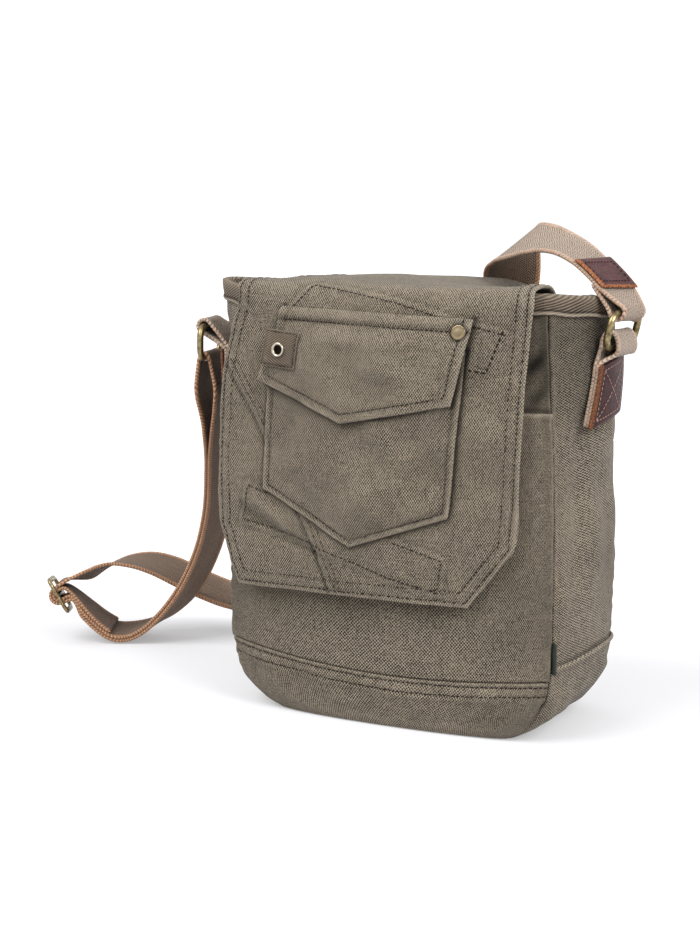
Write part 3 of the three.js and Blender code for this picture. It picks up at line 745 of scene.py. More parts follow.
@dataclass
class Mesh:
    """Points in millimetres, faces, and what each point carries."""

    points: Array
    faces: list[Array]
    flat: Array
    paint: dict[str, Array]

    @classmethod
    def of_grid(cls, points: Array, faces: list[Array], flat: Array, **paint: Array) -> "Mesh":
        """A mesh of a grid of points, its paint spread over the grid."""
        spread = {key: np.broadcast_to(value, points.shape[:-1]).ravel() for key, value in paint.items()}
        return cls(points.reshape(-1, 3), faces, flat.reshape(-1, 2), spread)

    def piece(self, name: str, material: bpy.types.Material) -> bpy.types.Object:
        """Makes the object.

        Args:
            name: the piece's name.
            material: its finish.

        Returns:
            The object, in metres.
        """
        made = bpy.data.meshes.new(name)
        made.vertices.add(len(self.points))
        made.vertices.foreach_set("co", (self.points * MM).astype(np.float32).ravel())
        corners = np.concatenate([f.ravel() for f in self.faces]).astype(np.int32)
        sizes = np.concatenate([np.full(len(f), f.shape[1]) for f in self.faces])
        starts = np.concatenate([[0], np.cumsum(sizes)[:-1]]).astype(np.int32)
        made.loops.add(len(corners))
        made.loops.foreach_set("vertex_index", corners)
        made.polygons.add(len(sizes))
        made.polygons.foreach_set("loop_start", starts)
        made.polygons.foreach_set("use_smooth", np.ones(len(sizes), dtype=bool))
        made.update(calc_edges=True)
        layer = made.uv_layers.new(name=FLAT)
        layer.uv.foreach_set("vector", self.flat[corners].astype(np.float32).ravel())
        # Attributes of lightening, partly painted highlights, and of painted shade.
        for key in ("wear", "shade"):
            values = self.paint.get(key, np.zeros(len(self.points)))
            made.attributes.new(key, "FLOAT", "POINT").data.foreach_set("value", values.astype(np.float32))
        made.materials.append(material)
        thing = bpy.data.objects.new(name, made)
        bpy.context.scene.collection.objects.link(thing)
        return thing

    def dress(self, name: str, material: bpy.types.Material, slot: Slot, *nodes: str) -> bpy.types.Object:
        """Makes the object, rides it on the bag, hides its solids and reports it."""
        thing = self.piece(name, material)
        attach(thing, "root")
        if nodes:
            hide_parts(*nodes)
        LOG.info("%s: %d faces", thing.name, len(thing.data.polygons))
        return thing


def grid_faces(rows: int, columns: int, start: int = 0, loop: bool = False, flip: bool = False) -> Array:
    """Quads of a grid of points.

    Args:
        rows: points up.
        columns: points across.
        start: number of the first point.
        loop: whether the last column joins the first.
        flip: whether the faces look the other way.

    Returns:
        Four point numbers for each quad.
    """
    across = columns if loop else columns - 1
    i, j = np.meshgrid(np.arange(rows - 1), np.arange(across), indexing="ij")
    k = (j + 1) % columns
    low, high = start + i * columns, start + (i + 1) * columns
    quads = beside(low + j, low + k, high + k, high + j).reshape(-1, 4)
    return quads[:, ::-1] if flip else quads


def grid_normals(points: Array) -> Array:
    """Outward directions of a grid whose columns run right and whose rows run up."""
    return unit(np.cross(np.gradient(points, axis=1), np.gradient(points, axis=0)))


def edge_reach(points: Array) -> Array:
    """Distance of each grid point from the nearest edge, along the grid."""
    climbed, passed = running(points), running(points, 1)
    return np.minimum(
        np.minimum(climbed, climbed[-1:] - climbed),
        np.minimum(passed, passed[:, -1:] - passed),
    )


def rounding(inset: Array, reach: float) -> Array:
    """Share of its thickness that a layer keeps so far in from its rounded edge."""
    return np.sqrt(1.0 - (1.0 - clamp01(inset / reach)) ** 2)


def closed_sheet(
    middle: Array,
    normal: Array,
    half: Any,
    flat: Array,
    paint: dict[str, Array],
    loop: bool = False,
) -> Mesh:
    """Closes a layer of cloth about its middle.

    Args:
        middle: grid of points in the middle of the cloth.
        normal: outward directions there.
        half: half the thickness there.
        flat: places on the flat cloth.
        paint: lightening by rubbing and painted highlights, and painted shade, there.
        loop: whether the columns join up.

    Returns:
        The closed mesh.
    """
    rows, columns = middle.shape[:2]
    count = rows * columns
    lift = normal * np.asarray(half)[..., None]
    faces = [grid_faces(rows, columns, 0, loop), grid_faces(rows, columns, count, loop, True)]
    borders = [np.arange(columns), (rows - 1) * columns + np.arange(columns)[::-1]]
    if loop:
        borders = [np.append(b, b[0]) for b in borders]
    else:
        borders += [np.arange(rows)[::-1] * columns, np.arange(rows) * columns + columns - 1]
    for border in borders:
        a, b = border[:-1], border[1:]
        faces.append(beside(b, a, a + count, b + count))
    return Mesh.of_grid(np.stack([middle + lift, middle - lift]), faces, np.stack([flat, flat]), **paint)


@dataclass
class Spots:
    """Places on a piece of cloth: shares across and up it, and where they lie on the flat cloth."""

    u: Array
    v: Array
    flat: Array

    @property
    def x(self) -> Array:
        """Place across the flat cloth."""
        return self.flat[..., 0]

    @property
    def z(self) -> Array:
        """Place up the flat cloth, on most pieces the height above the floor."""
        return self.flat[..., 1]

    def gap(self, line: Line) -> Array:
        """Distance from a line on the flat cloth."""
        return line_distance(self.flat, line)

    def away(self, spot: tuple[float, float]) -> Array:
        """Distance from a spot on the flat cloth."""
        return np.hypot(self.x - spot[0], self.z - spot[1])


Placer = Callable[[Array, Array], Array]
Relief = Callable[[Spots], Array]
Marks = tuple[Array, Array, Array]


@dataclass
class Cloth:
    """Outer face of a piece of cloth over u, to the right, and v, up, both from 0 to 1.

    Its marks say how far the face rises, where it is rubbed pale, where painted highlights lie and where
    painted shade lies.
    A piece with a cross scale is cut across the weave, and a measured one has its weave laid along its face.
    """

    face: Placer
    flat: Placer
    marks: Callable[[Spots], Marks]
    thickness: float
    cross: float = 0.0
    measured: bool = False
    rim: float = 0.55
    thread_lift: float = 0.14

    def normal(self, u: Array, v: Array) -> Array:
        """Outward direction of the plain face."""
        step = 1e-3
        across = self.face(np.minimum(u + step, 1.0), v) - self.face(np.maximum(u - step, 0.0), v)
        up = self.face(u, np.minimum(v + step, 1.0)) - self.face(u, np.maximum(v - step, 0.0))
        return unit(np.cross(across, up))

    def mesh(self, across: Array, up: Array) -> Mesh:
        """The closed cloth over stops across and up, its edges rounded."""
        u, v = np.meshgrid(across, up)
        at = Spots(u, v, self.flat(u, v))
        normal, base = self.normal(u, v), self.face(u, v)
        rise, wear, shade = self.marks(at)
        half = self.thickness / 2.0
        middle = base + normal * (rise - half)[..., None]
        half = np.maximum(half * rounding(edge_reach(base), self.thickness * self.rim), 0.03)
        weave = beside(at.x, running(base) if self.measured else at.z)
        if self.cross:
            weave = beside(weave[..., 1], weave[..., 0] * self.cross)
        return closed_sheet(middle, normal, half, weave, {"wear": wear, "shade": shade})

    def sewn(self, u: Array, v: Array) -> StitchRow:
        """Points and outward directions along a line on the face, for stitches."""
        normal = self.normal(u, v)
        rise = self.marks(Spots(u, v, self.flat(u, v)))[0] + self.thread_lift
        return self.face(u, v) + normal * rise[..., None], normal


@dataclass
class Stitching:
    """Rows of single stitches, each a small bowed capsule of thread."""

    length: float = 2.3
    pitch: float = 3.1
    width: float = 0.85
    height: float = 0.55
    seed: int = 1
    stray: float = 0.2
    skew: float = 0.06
    sides: int = 6

    def mesh(self, rows: Sequence[StitchRow]) -> Mesh:
        """All the stitches of the rows.

        Args:
            rows: close points of each row and the outward directions there.

        Returns:
            One mesh of every stitch.
        """
        rng = np.random.default_rng(self.seed)
        parts = []
        for points, normals in rows:
            reach = running(points)
            count = int(reach[-1] / self.pitch)
            at = (np.arange(count) + 0.5) * reach[-1] / count + rng.uniform(-self.stray, self.stray, count)
            before, middle, after = (read_line(at + step, reach, points) for step in (-1.0, 0.0, 1.0))
            parts.append((middle, unit(after - before), read_line(at, reach, normals)))
        middle, along, out = (np.concatenate(part) for part in zip(*parts))
        out = squared(out, along)
        along = unit(along + np.cross(along, out) * rng.uniform(-self.skew, self.skew, (len(middle), 1)))
        return self._capsules(middle, along, out)

    def _capsules(self, middle: Array, along: Array, out: Array) -> Mesh:
        """Capsules in given frames: two tips and three rings each."""
        turn = around(self.sides)
        rings = [
            beside(0.0 * turn + place, size * np.cos(turn), size * np.sin(turn))
            for place, size in ((-0.38, 0.78), (0.0, 1.0), (0.38, 0.78))
        ]
        local = np.concatenate([[(-0.5, 0.0, 0.0)], *rings, [(0.5, 0.0, 0.0)]])
        bow = 0.12 - 1.6 * local[:, 0] ** 2 * self.height
        reach = local[:, 0] * self.length
        points = (
            middle[:, None]
            + along[:, None] * reach[:, None]
            + np.cross(along, out)[:, None] * (local[:, 1] * self.width / 2.0)[:, None]
            + out[:, None] * (local[:, 2] * self.height / 2.0 + bow)[:, None]
        )
        last = len(local) - 1
        j = np.arange(self.sides)
        k = (j + 1) % self.sides
        tips = np.concatenate([
            beside(0 * j, 1 + j, 1 + k),
            beside(0 * j + last, last - self.sides + k, last - self.sides + j),
        ])
        starts = (np.arange(len(middle)) * len(local))[:, None, None]
        quads = grid_faces(len(rings), self.sides, 1, True, True)
        faces = [(quads + starts).reshape(-1, 4), (tips + starts).reshape(-1, 3)]
        spread = np.arange(len(middle))[:, None, None] * np.array([3.7, 1.3])
        return Mesh.of_grid(points, faces, beside(reach, local[:, 1]) + spread)


# Body of the bag

@dataclass
class BagBody:
    """Panels, gussets, base bands and bottom of the bag, and the slip pocket on its front.

    The sections give, at each height, the corner seams' half distance, the front, the back and how far the
    right and the left gusset bulge. The band heights give, for each side, the base seam at the first and the
    second corner and its rise between them.
    """

    finishes: Finishes
    corner_reach: float = 55.0
    sections: Table = Table((
        (0, 79, -46, 46, -5, 4), (7, 91, -49, 49, -5, 5), (20, 103, -52, 52, -3, 5), (40, 109, -54, 54, 1, 4),
        (90, 110.5, -54, 54, 3, 6), (160, 109.5, -53, 53, 4.5, 12), (220, 106.5, -52, 52, 8.5, 20),
        (260, 104, -51, 51, 8, 27), (300, 102, -50, 50, 5, 36),
    ))
    rim_front: float = 274.5
    rim_back: float = 272.0
    rim_right: float = -2.0
    rim_left: float = 4.0
    slump: float = 8.5
    pocket_hem: float = 205.5
    pocket_ease: float = 1.2
    front_slack: float = 0.45
    band_heights: Rows = ((46.5, 41.5, -8.0), (51.0, 51.0, 3.0), (41.0, 41.0, -8.0), (42.0, 46.0, 11.0))
    band_rows: tuple[float, float] = (3.0, 9.0)
    band_foot: float = 0.3
    lap: float = 3.0
    creases: tuple[float, ...] = (276.0, 243.0, 222.0)
    weave_apart: float = 400.0
    gusset_weave: float = 0.72

    def outline(self, side: Side, t: Array, z: Array) -> Array:
        """Level outline of a side at t, from its first corner to its second."""
        seam, front, back, right, left = self.sections.read(z)
        x, y = (-seam, seam, seam, -seam), (front, front, back, back)
        reach = self.corner_reach * math.sqrt(0.5)
        turn_x, turn_y = (reach, reach, -reach, -reach), (-reach, reach, reach, -reach)
        a, b = side.value, (side.value + 1) % 4
        bulge = (0.0, right, 0.0, -left)[a] * swell(t)
        return beside(
            hermite(x[a], x[b], turn_x[a], turn_x[b], t) + bulge,
            hermite(y[a], y[b], turn_y[a], turn_y[b], t),
        )

    def point(self, side: Side, t: Array, z: Array, out: Any = 0.0) -> Array:
        """Point on a side at a height, moved outward."""
        t, z, out = np.broadcast_arrays(np.asarray(t, float), np.asarray(z, float), np.asarray(out, float))
        step = 1e-3
        place = self.outline(side, t, z)
        before, after = (self.outline(side, clamp01(t + turn), z) for turn in (-step, step))
        along = unit(after - before)
        x, y = place[..., 0] + along[..., 1] * out, place[..., 1] - along[..., 0] * out
        return beside(x, y, z)

    def on_gusset(self, side: Side, y: Array, z: Array, out: Any) -> Array:
        """Point on a gusset at a depth and a height, found by halving."""
        low, high = np.zeros_like(y), np.ones_like(y)
        for _ in range(36):
            t = (low + high) / 2.0
            short = (self.outline(side, t, z)[..., 1] < y) == (side is Side.RIGHT)
            low = np.where(short, t, low)
            high = np.where(short, high, t)
        return self.point(side, low, z, out)

    def rim(self, side: Side, t: Array) -> Array:
        """Height of the mouth, which slumps at its right back corner."""
        bulge, late = swell(t), smooth((t - 0.5) / 0.5)
        return [
            self.rim_front + 0.0 * t,
            mix(self.rim_front, self.rim_back, t) + self.rim_right * bulge - self.slump * late,
            self.rim_back - self.slump * (1.0 - smooth(t / 0.5)),
            mix(self.rim_back, self.rim_front, t) + self.rim_left * bulge,
        ][side.value]

    def band_top(self, side: Side, t: Array) -> Array:
        """Height of the base seam."""
        first, second, rise = self.band_heights[side.value]
        return mix(first, second, t) + rise * swell(t)

    def width(self, side: Side) -> float:
        """Usual width of a side along its curve."""
        middle_height = 150.0
        return float(running(self.point(side, np.linspace(0.0, 1.0, 60), middle_height))[-1])

    def inset(self, side: Side, at: Spots) -> Array:
        """Distance from the nearer corner seam."""
        return np.minimum(at.u, 1.0 - at.u) * self.width(side)

    def wall(
        self,
        side: Side,
        low: Callable[[Array], Array],
        high: Callable[[Array], Array],
        marks: Callable[[Side, Spots], Marks],
        out: Optional[Placer] = None,
    ) -> Cloth:
        """Cloth of a side between two heights.

        Args:
            side: which side.
            low: height of its lower edge over t.
            high: height of its upper edge over t.
            marks: its unevenness, lightening with painted highlights, and painted shade.
            out: distance outward of the outer face.

        Returns:
            The cloth.
        """
        wide = self.width(side)

        def flat(u: Array, v: Array) -> Array:
            """Flat cloth: place along the side, and height over the floor."""
            return beside(u * wide + self.weave_apart * side.value, mix(low(u), high(u), v))

        def face(u: Array, v: Array) -> Array:
            """Outer face."""
            return self.point(side, u, flat(u, v)[..., 1], out(u, v) if out else 0.0)

        cross = self.gusset_weave if side.gusset else 0.0
        return Cloth(face, flat, partial(marks, side), WALL, cross, measured=True)

    def slack(self, side: Side, much: float, at: Spots) -> Array:
        """Soft unevenness of a side, with puckers and a sunk line along its corner seams."""
        inset, number = self.inset(side, at), side.value
        soft = uneven(at.flat, (75.0, 11 + number, 0.9), (30.0, 31 + number, 0.36), (12.0, 51 + number, 0.1))
        free = smooth((at.z - 36.0) / 34.0) * smooth(inset / 9.0 + 0.15)
        pucker = 0.5 * np.sin(at.z * 0.42 + 3.0 * np.sin(at.z * 0.07 + number)) * bell(inset - 4.0, 6.0)
        lip = 0.6 * bell(inset - 3.2, 2.4) - 0.9 * bell(inset, 1.9)
        hollow = bell((1.0 - at.u) * self.width(side) - 14.0, 6.0) if side is Side.FRONT else 0.0
        return much * free * soft + pucker + lip - hollow

    def strip_creases(self, at: Spots) -> Array:
        """Slanting hollows by the right front seam, above the slip pocket."""
        inset = (1.0 - at.u) * self.width(Side.FRONT)
        return bell(inset - 22.0, 11.0) * sum(bell(at.z - place + 0.4 * inset, 5.0) for place in self.creases)

    def seams(self, side: Side, at: Spots) -> tuple[Array, Array]:
        """Fading beside the corner seams, and painted shade along their sunk line."""
        inset = self.inset(side, at)
        return 0.45 * bell(inset - 3.2, 1.6), 0.4 * bell(inset, 1.2)

    def panel_marks(self, side: Side, at: Spots) -> Marks:
        """Slack and seams of a panel, with the front's slanting hollows or a gusset's long soft dents;
        painted shade in the front's hollows, over the slip pocket's hem and under the flap, and on a gusset's
        upper front and over its base band.
        """
        u, z = at.u, at.z
        wear, shade = self.seams(side, at)
        if side is Side.BACK:
            return self.slack(side, 1.0, at), wear, shade
        if side is Side.FRONT:
            # Painted shade in the slanting hollows and in the gap over the slip pocket's hem, and a painted
            # shadow of the flap growing up the strip above it.
            creases, over = self.strip_creases(at), z - self.pocket_hem
            gap = 0.6 * bell(over - 1.0, 2.2) + 0.42 * smooth(over / 20.0)
            return self.slack(side, self.front_slack, at) - 2.8 * creases, wear, shade + 0.6 * creases + gap
        tall = smooth((z - 60.0) / 60.0) * smooth((252.0 - z) / 60.0)
        dent = bell(u - 0.24 - 0.0006 * (z - 120.0), 0.09) * tall
        fold = bell((u - 0.62) * 110.0 + (z - 120.0) * 0.35, 9.0) * bell(z - 110.0, 55.0)
        tuck = bell(z - 241.0 - 34.0 * u, 6.0) * (1.0 - smooth((u - 0.25) / 0.35))
        rise = self.slack(side, 0.9, at) - 3.4 * dent - 2.4 * fold - 1.2 * swell(u) - 1.8 * tuck
        # Painted shade on the gusset's upper front and in the crevice over the base band.
        dim = 0.38 * smooth((z - 170.0) / 70.0) * (1.0 - smooth((u - 0.4) / 0.4))
        return rise, wear, shade + dim + 0.55 * bell(z - self.band_top(side, u) - 0.8, 1.1)

    def band_marks(self, side: Side, at: Spots) -> Marks:
        """A base band: its seam, a ridge or a felled and roped edge, puckered corners and pale crowns, with
        painted shade in its grooves and along the corner seam.
        """
        inset, number = self.inset(side, at), side.value
        drop, along = self.band_top(side, at.u) - at.z, at.u * self.width(side)
        crest = along * 0.72 + drop * 0.35
        if side.gusset:
            seam, dark = 1.43 * bell(drop - 1.6, 2.0), 0.3 * bell(drop - 4.6, 1.2)
        else:
            roped = np.sin(crest + 2.0 * np.sin(along * 0.11)) * bell(drop - 6.0, 6.0)
            groove = sum(bell(drop - row, 0.9) for row in self.band_rows)
            seam = 1.1 * (1.0 - smooth((drop - 11.0) / 4.0)) + 0.5 * roped - 0.6 * groove
            dark = sum(0.35 * bell(drop - row, 0.8) for row in self.band_rows)
        pucker = 0.8 * np.sin(at.z * 0.26 + 1.3 * np.sin(at.z * 0.2) + number) * bell(inset - 7.0, 9.0)
        soft = uneven(at.flat, (42.0, 71 + number, 0.9), (17.0, 81 + number, 0.3))
        free = smooth((at.z - 1.0) / 16.0) * smooth(drop / 14.0)
        rise = seam + free * (pucker + soft) - 1.2 * bell(inset, 1.6)
        crowns = 0.7 * bell(drop - 0.6, 1.0) + 0.3 * bell(at.z - 5.0, 4.0)
        wear = crowns + 0.3 * (0.5 + 0.5 * np.sin(crest)) * bell(drop - 6.0, 3.0)
        # Painted shade in the stitch grooves, below the gusset's ridge and along the corner seam.
        return rise, wear, dark + 0.6 * bell(inset, 1.3)

    def pocket_marks(self, side: Side, at: Spots) -> Marks:
        """The slip pocket's rolled and creased hem and its slack, with a painted shadow of the flap over its
        middle.
        """
        drop = self.pocket_hem - at.z
        wear, shade = self.seams(side, at)
        rolled = 1.4 * bell(drop - 1.5, 1.7) - 0.6 * bell(drop - 4.4, 1.2)
        creased = 0.3 * np.sin(at.u * 86.0) * bell(drop - 8.0, 9.0)
        rise = self.slack(side, self.front_slack, at) + rolled + creased
        # Painted shadow of the flap across the pocket, and painted shade along the corner seam.
        return rise, wear + 0.95 * bell(drop - 1.2, 1.4), shade + 0.24 * bell(at.z - 84.0, 30.0)

    def build(self) -> None:
        """Makes and dresses every piece of the body."""
        canvas, panel_tall, band_tall, pocket_tall = self.finishes.canvas, 230.0, 42.0, 170.0
        stitched: list[StitchRow] = []
        line = np.linspace(0.01, 0.99, 160)
        for side in Side:
            top, wide, word = partial(self.band_top, side), self.width(side), side.word
            panel = self.wall(side, lambda t: top(t) - self.lap, partial(self.rim, side), self.panel_marks)
            node = f"gusset_{word}" if side.gusset else f"{word}_panel"
            made = panel.mesh(stops(wide, 2.0), stops(panel_tall, 2.2))
            made.dress(f"{node}_cloth", canvas, Slot.CANVAS, node)
            band = self.wall(side, lambda t: 0.0 * t + self.band_foot, top, self.band_marks)
            made = band.mesh(stops(wide, 1.6), stops(band_tall, 1.5))
            made.dress(f"base_{word}_cloth", canvas, Slot.CANVAS, f"base_{word}")
            for drop in () if side.gusset else self.band_rows:
                stitched.append(band.sewn(line, 1.0 - drop / top(line)))
        pocket = self.wall(
            Side.FRONT,
            lambda t: self.band_top(Side.FRONT, t) + 1.0,
            lambda t: self.pocket_hem + 0.0 * t,
            self.pocket_marks,
            lambda t, v: WALL + GAP + self.pocket_ease * swell(t) * v * v,
        )
        made = pocket.mesh(stops(self.width(Side.FRONT), 2.0), stops(pocket_tall, 2.0))
        made.dress("slip_pocket_cloth", canvas, Slot.CANVAS, "slip_pocket")
        self.bottom()
        Stitching(seed=3).mesh(stitched).dress("body_stitching", self.finishes.dark_thread_painted_shade, Slot.CANVAS)

    def bottom(self) -> None:
        """The flat bottom panel, as rings that close in on its middle."""
        inset, lift = WALL + GAP + 0.4, WALL / 2.0 + 0.1
        t = np.linspace(0.0, 1.0, 24, endpoint=False)
        rim = np.concatenate([self.point(side, t, 0.0 * t, -inset) for side in Side])
        grid = rim[None] * np.linspace(1.0, 0.04, 26)[:, None, None]
        grid[..., 2] = lift
        made = closed_sheet(grid, UP, WALL / 2.0, grid[..., :2], {}, loop=True)
        made.dress("bottom_panel_cloth", self.finishes.canvas, Slot.CANVAS, "bottom_panel")


@dataclass
class MouthBinding:
    """Twill tape folded over the rim, all round the mouth, with a beaded lower edge."""

    finishes: Finishes
    body: BagBody
    thickness: float = 1.2
    height: float = 11.0
    per_side: int = 90
    wobble: float = 0.4

    def build(self) -> None:
        """Makes and dresses the tape."""
        profile = self._profile(-WALL - GAP)
        marks = profile[:, 2, None]
        u = np.linspace(0.0, 1.0, self.per_side, endpoint=False)
        columns = []
        for side in Side:
            rim, wave = self.body.rim(side, u), self.wobble * np.sin(u * 21.0 + side.value)
            columns.append(np.stack([
                self.body.point(side, u, rim + up + (wave if up < -5.0 else 0.0), out)
                for out, up, _ in profile
            ]))
        grid = np.concatenate(columns, axis=1)
        rows, across = grid.shape[:2]
        flat = beside(running(grid[rows // 2]), marks)
        first = np.arange(across)
        after, last = (first + 1) % across, (rows - 1) * across
        closing = beside(first, last + first, last + after, after)
        climb = self.height + 1.0 - np.abs(marks)
        made = Mesh.of_grid(
            grid,
            [grid_faces(rows, across, 0, True), closing],
            flat,
            wear=0.8 * bell(climb - 0.8, 1.0) + 0.2 * bell(marks, 3.0),
            # Painted shade in the groove just above the beaded edge.
            shade=0.85 * bell(climb - 2.6, 0.7),
        )
        made.dress("mouth_binding_tape", self.finishes.tape, Slot.TAPE, "mouth_binding")

    def _profile(self, inside: float) -> Array:
        """Section of the folded tape: outward, upward and the distance along the tape from its fold."""
        low, face = -self.height, GAP + self.thickness
        outer = [
            (GAP, low + 0.4, low - 1.5), (GAP + 0.5, low - 0.3, low - 1.2), (face + 0.3, low, low - 0.8),
            (face + 0.8, low + 0.9, low), (face + 0.5, low + 1.9, low + 1.0),
            (face - 0.2, low + 2.5, low + 1.6), (face, low + 3.6, low + 2.6),
            (face + 0.15, low + 6.5, low + 5.5), (face + 0.1, -3.0, -4.0), (face, -0.6, -1.8),
            (face - 0.3, face - 0.5, -0.9),
        ]
        crown = [((GAP + inside) / 2.0, face + 0.15, 0.0)]
        inner = [(GAP + inside - out, up, -mark) for out, up, mark in reversed(outer)]
        lid = GAP - 0.1
        hollow = [
            (inside + 0.05, -4.0, 18.0), (inside + 0.1, lid, 22.0), (lid, lid, 24.0),
            (GAP - 0.05, -4.0, 28.0),
        ]
        return np.array(outer + crown + inner + hollow)


# Flap and what is sewn on it

@dataclass(frozen=True)
class PatchShape:
    """Five-sided patch: its side lines and the three heights of its lower edge."""

    top: float
    top_mid: float
    top_half: float
    low: float
    low_mid: float
    low_half: float
    left: float
    tip: float
    right: float
    tilt: float = 0.0

    def line(self, z: Array) -> tuple[Array, Array]:
        """Middle and half width at a height."""
        t = (self.top - z) / (self.top - self.low)
        return mix(self.top_mid, self.low_mid, t), mix(self.top_half, self.low_half, t)

    def edge(self, a: Array) -> Array:
        """Height of the lower edge at a in -1 to 1."""
        return mix(self.tip, np.where(a < 0, self.left, self.right), np.abs(a))

    def head(self, a: Array) -> Array:
        """Height of the upper edge at a in -1 to 1."""
        return self.top + self.tilt * (1.0 - a)

    def across(self, flat: Array) -> Array:
        """Places between the side lines, where a is -1 and 1."""
        mid, half = self.line(flat[..., 1])
        return (flat[..., 0] - mid) / half

    def drop(self, flat: Array) -> Array:
        """Distance below the upper edge."""
        return self.head(np.clip(self.across(flat), -1.0, 1.0)) - flat[..., 1]

    def flat(self, u: Array, v: Array) -> Array:
        """Flat place at u to the right and v up."""
        a = 2.0 * u - 1.0
        z = mix(self.edge(a), self.head(a), v)
        mid, half = self.line(z)
        return beside(mid + a * half, z)

    def locate(self, flat: Array) -> tuple[Array, Array]:
        """u and v of flat places."""
        a = self.across(flat)
        held = np.clip(a, -1.0, 1.0)
        low = self.edge(held)
        return (a + 1.0) / 2.0, (flat[..., 1] - low) / (self.head(held) - low)

    def hem(self) -> Array:
        """Free edge from the top left, round the point, to the top right."""
        return self.flat(np.array([0.0, 0.0, 0.5, 1.0, 1.0]), np.array([1.0, 0.0, 0.0, 0.0, 1.0]))


POUCH = PatchShape(242, -7, 67, 145, -13, 64, 150, 118, 141)
COVER = PatchShape(261, 0, 65, 214, -14, 67.5, 219, 195, 209, 2.2)


def sewn_row(cloth: Cloth, shape: Union["Flap", PatchShape], line: Line) -> StitchRow:
    """Stitch row along a flat line of a shaped cloth."""
    u, v = shape.locate(fine_line(line))
    return cloth.sewn(clamp01(u), clamp01(v))


@dataclass
class Flap:
    """Flap from the back panel, over the mouth and down the front, with its bands and felled seam.

    The front rows give, by height, the depth, half width, middle, crown and curl. The top rows follow them
    over the mouth by depth and height, with half width, crown, droop and wave.
    """

    finishes: Finishes
    thickness: float = 2.6
    low: float = 86.0
    cut: float = 123.0
    fold: float = 270.0
    front_rows: Rows = (
        (270, -68.8, 99.8, 0.8, 3.5, 1), (256, -70.4, 101.4, -2.6, 4.5, 2), (230, -71.8, 103, -6.5, 5, 3),
        (195, -73, 104.5, -9.2, 5, 4), (160, -74.4, 103.8, -10.2, 5, 4), (123, -75, 102.5, -11.3, 5, 4),
        (86, -74.4, 80, -18, 3, 2),
    )
    top_rows: Rows = (
        (-65.6, 278.2, 100, 3, 0.7, 0.3), (-54, 281.0, 100, 2, 1.4, 1.2), (-36, 281.2, 99, 1, 2, 1.6),
        (-10, 280.6, 98, 0, 2, 1.6), (20, 280.2, 97, 0, 2, 1.6), (48, 279.6, 96, -1, 1.6, 1.2),
        (63.5, 278.3, 98, -2, 0.8, 0.4), (67.4, 271.5, 98, -3.5, 0.3, 0), (67.2, 263, 98, -5, 0, 0),
        (65.8, 250, 98, -5, 0, 0), (64.6, 232, 98, -5, 0, 0),
    )
    border_stops: tuple[float, ...] = (330.0, 278.0, 262.0, 240.0, 215.0, 190.0, 160.0)
    hem_rows: tuple[float, float] = (3.0, 9.5)
    sink: float = 10.0
    upper_band: Line = ((-62.7, 258), (-44.8, 280.4), (13.6, 271.2), (84.5, 254), (73.2, 226.6), (-60, 240))
    upper_seam: Line = ((-62.7, 262), (-44.8, 280.4), (-21.7, 277.3), (13.6, 271.2), (40.7, 264), (84.5, 254))
    band_end: Line = ((84.5, 254), (73.2, 226.6), (56, 229))
    lower_band: Line = ((-90.3, 154), (48.4, 115.4), (43.9, 91.3), (-95.9, 127.6))
    lower_seam: Line = (
        (-74, 149), (-90.3, 154), (-95.9, 127.6), (-52.8, 117.6), (-13, 106.1), (8.8, 98.7), (43.9, 91.3),
        (48.4, 115.4), (14, 125.3),
    )
    band_inset: float = 2.2
    felled_seam: Line = (
        (-109.3, 231.4), (-93.5, 206), (-78.5, 181.7), (-53.5, 136.7), (-42.7, 114.8), (-33.5, 93.9),
        (-31, 87.5),
    )
    felled_top: float = 232.0
    felled_lean: float = 0.87
    felled_rows: tuple[float, float] = (5.5, 9.0)
    ridge: Line = ((-82, 143), (-62, 126))
    hollow: Line = ((-95, 137), (-70, 124), (-40, 112))

    def __post_init__(self) -> None:
        """Joins the front and the top into one table by the distance along the flap."""
        rows = [(z, y, z, *shape, 0.0, 0.0, curl) for z, y, *shape, curl in self.front_rows]
        place, reach = np.array(self.front_rows[0][1::-1]), self.fold
        for y, z, half, crown, droop, wave in self.top_rows:
            reach += float(np.hypot(y - place[0], z - place[1]))
            place = np.array((y, z))
            rows.append((reach, y, z, half, 0.0, crown, droop, wave, 0.0))
        self.table = Table(tuple(rows))
        self.end = reach
        self.cloth = Cloth(self.face, self.flat, self.marks, self.thickness)

    def line(self, reach: Array) -> tuple[Array, Array]:
        """Middle and half width of the flap at a distance along it."""
        found = self.table.read(reach)
        half, mid = found[2], found[3]
        t = clamp01((self.cut - reach) / (self.cut - self.low))
        below = reach < self.cut
        start, end = self.front_rows[-2:]
        return np.where(below, mix(start[3], end[3], t), mid), np.where(below, mix(start[2], end[2], t), half)

    def face(self, u: Array, v: Array) -> Array:
        """Outer face."""
        return self.hang(self.flat(u, v), 0.0)

    def hang(self, flat: Array, out: Any) -> Array:
        """Point of the outer face at a flat place, moved outward on the front."""
        x, reach = flat[..., 0], flat[..., 1]
        y, z, half, mid, crown, droop, wave, curl = self.table.read(reach)
        a = (x - mid) / half
        back = clamp01((-a - 0.72) / 0.28) ** 2 * curl
        behind = smooth((y + 36.0) / 26.0) * smooth((z - 232.0) / 36.0)
        sunk = self.sink * behind * smooth((a - 0.3) / 0.5)
        low = droop * a * a + wave * np.sin(np.pi * a) + np.where(reach > self.fold, sunk, 0.0)
        return beside(x, y + crown * a * a + back - out, z - low)

    def flat(self, u: Array, v: Array) -> Array:
        """Flat cloth: x, and the distance along the flap, which is the height on the front."""
        reach = mix(self.low, self.end, v)
        mid, half = self.line(reach)
        return beside(mid + (2.0 * u - 1.0) * half, reach)

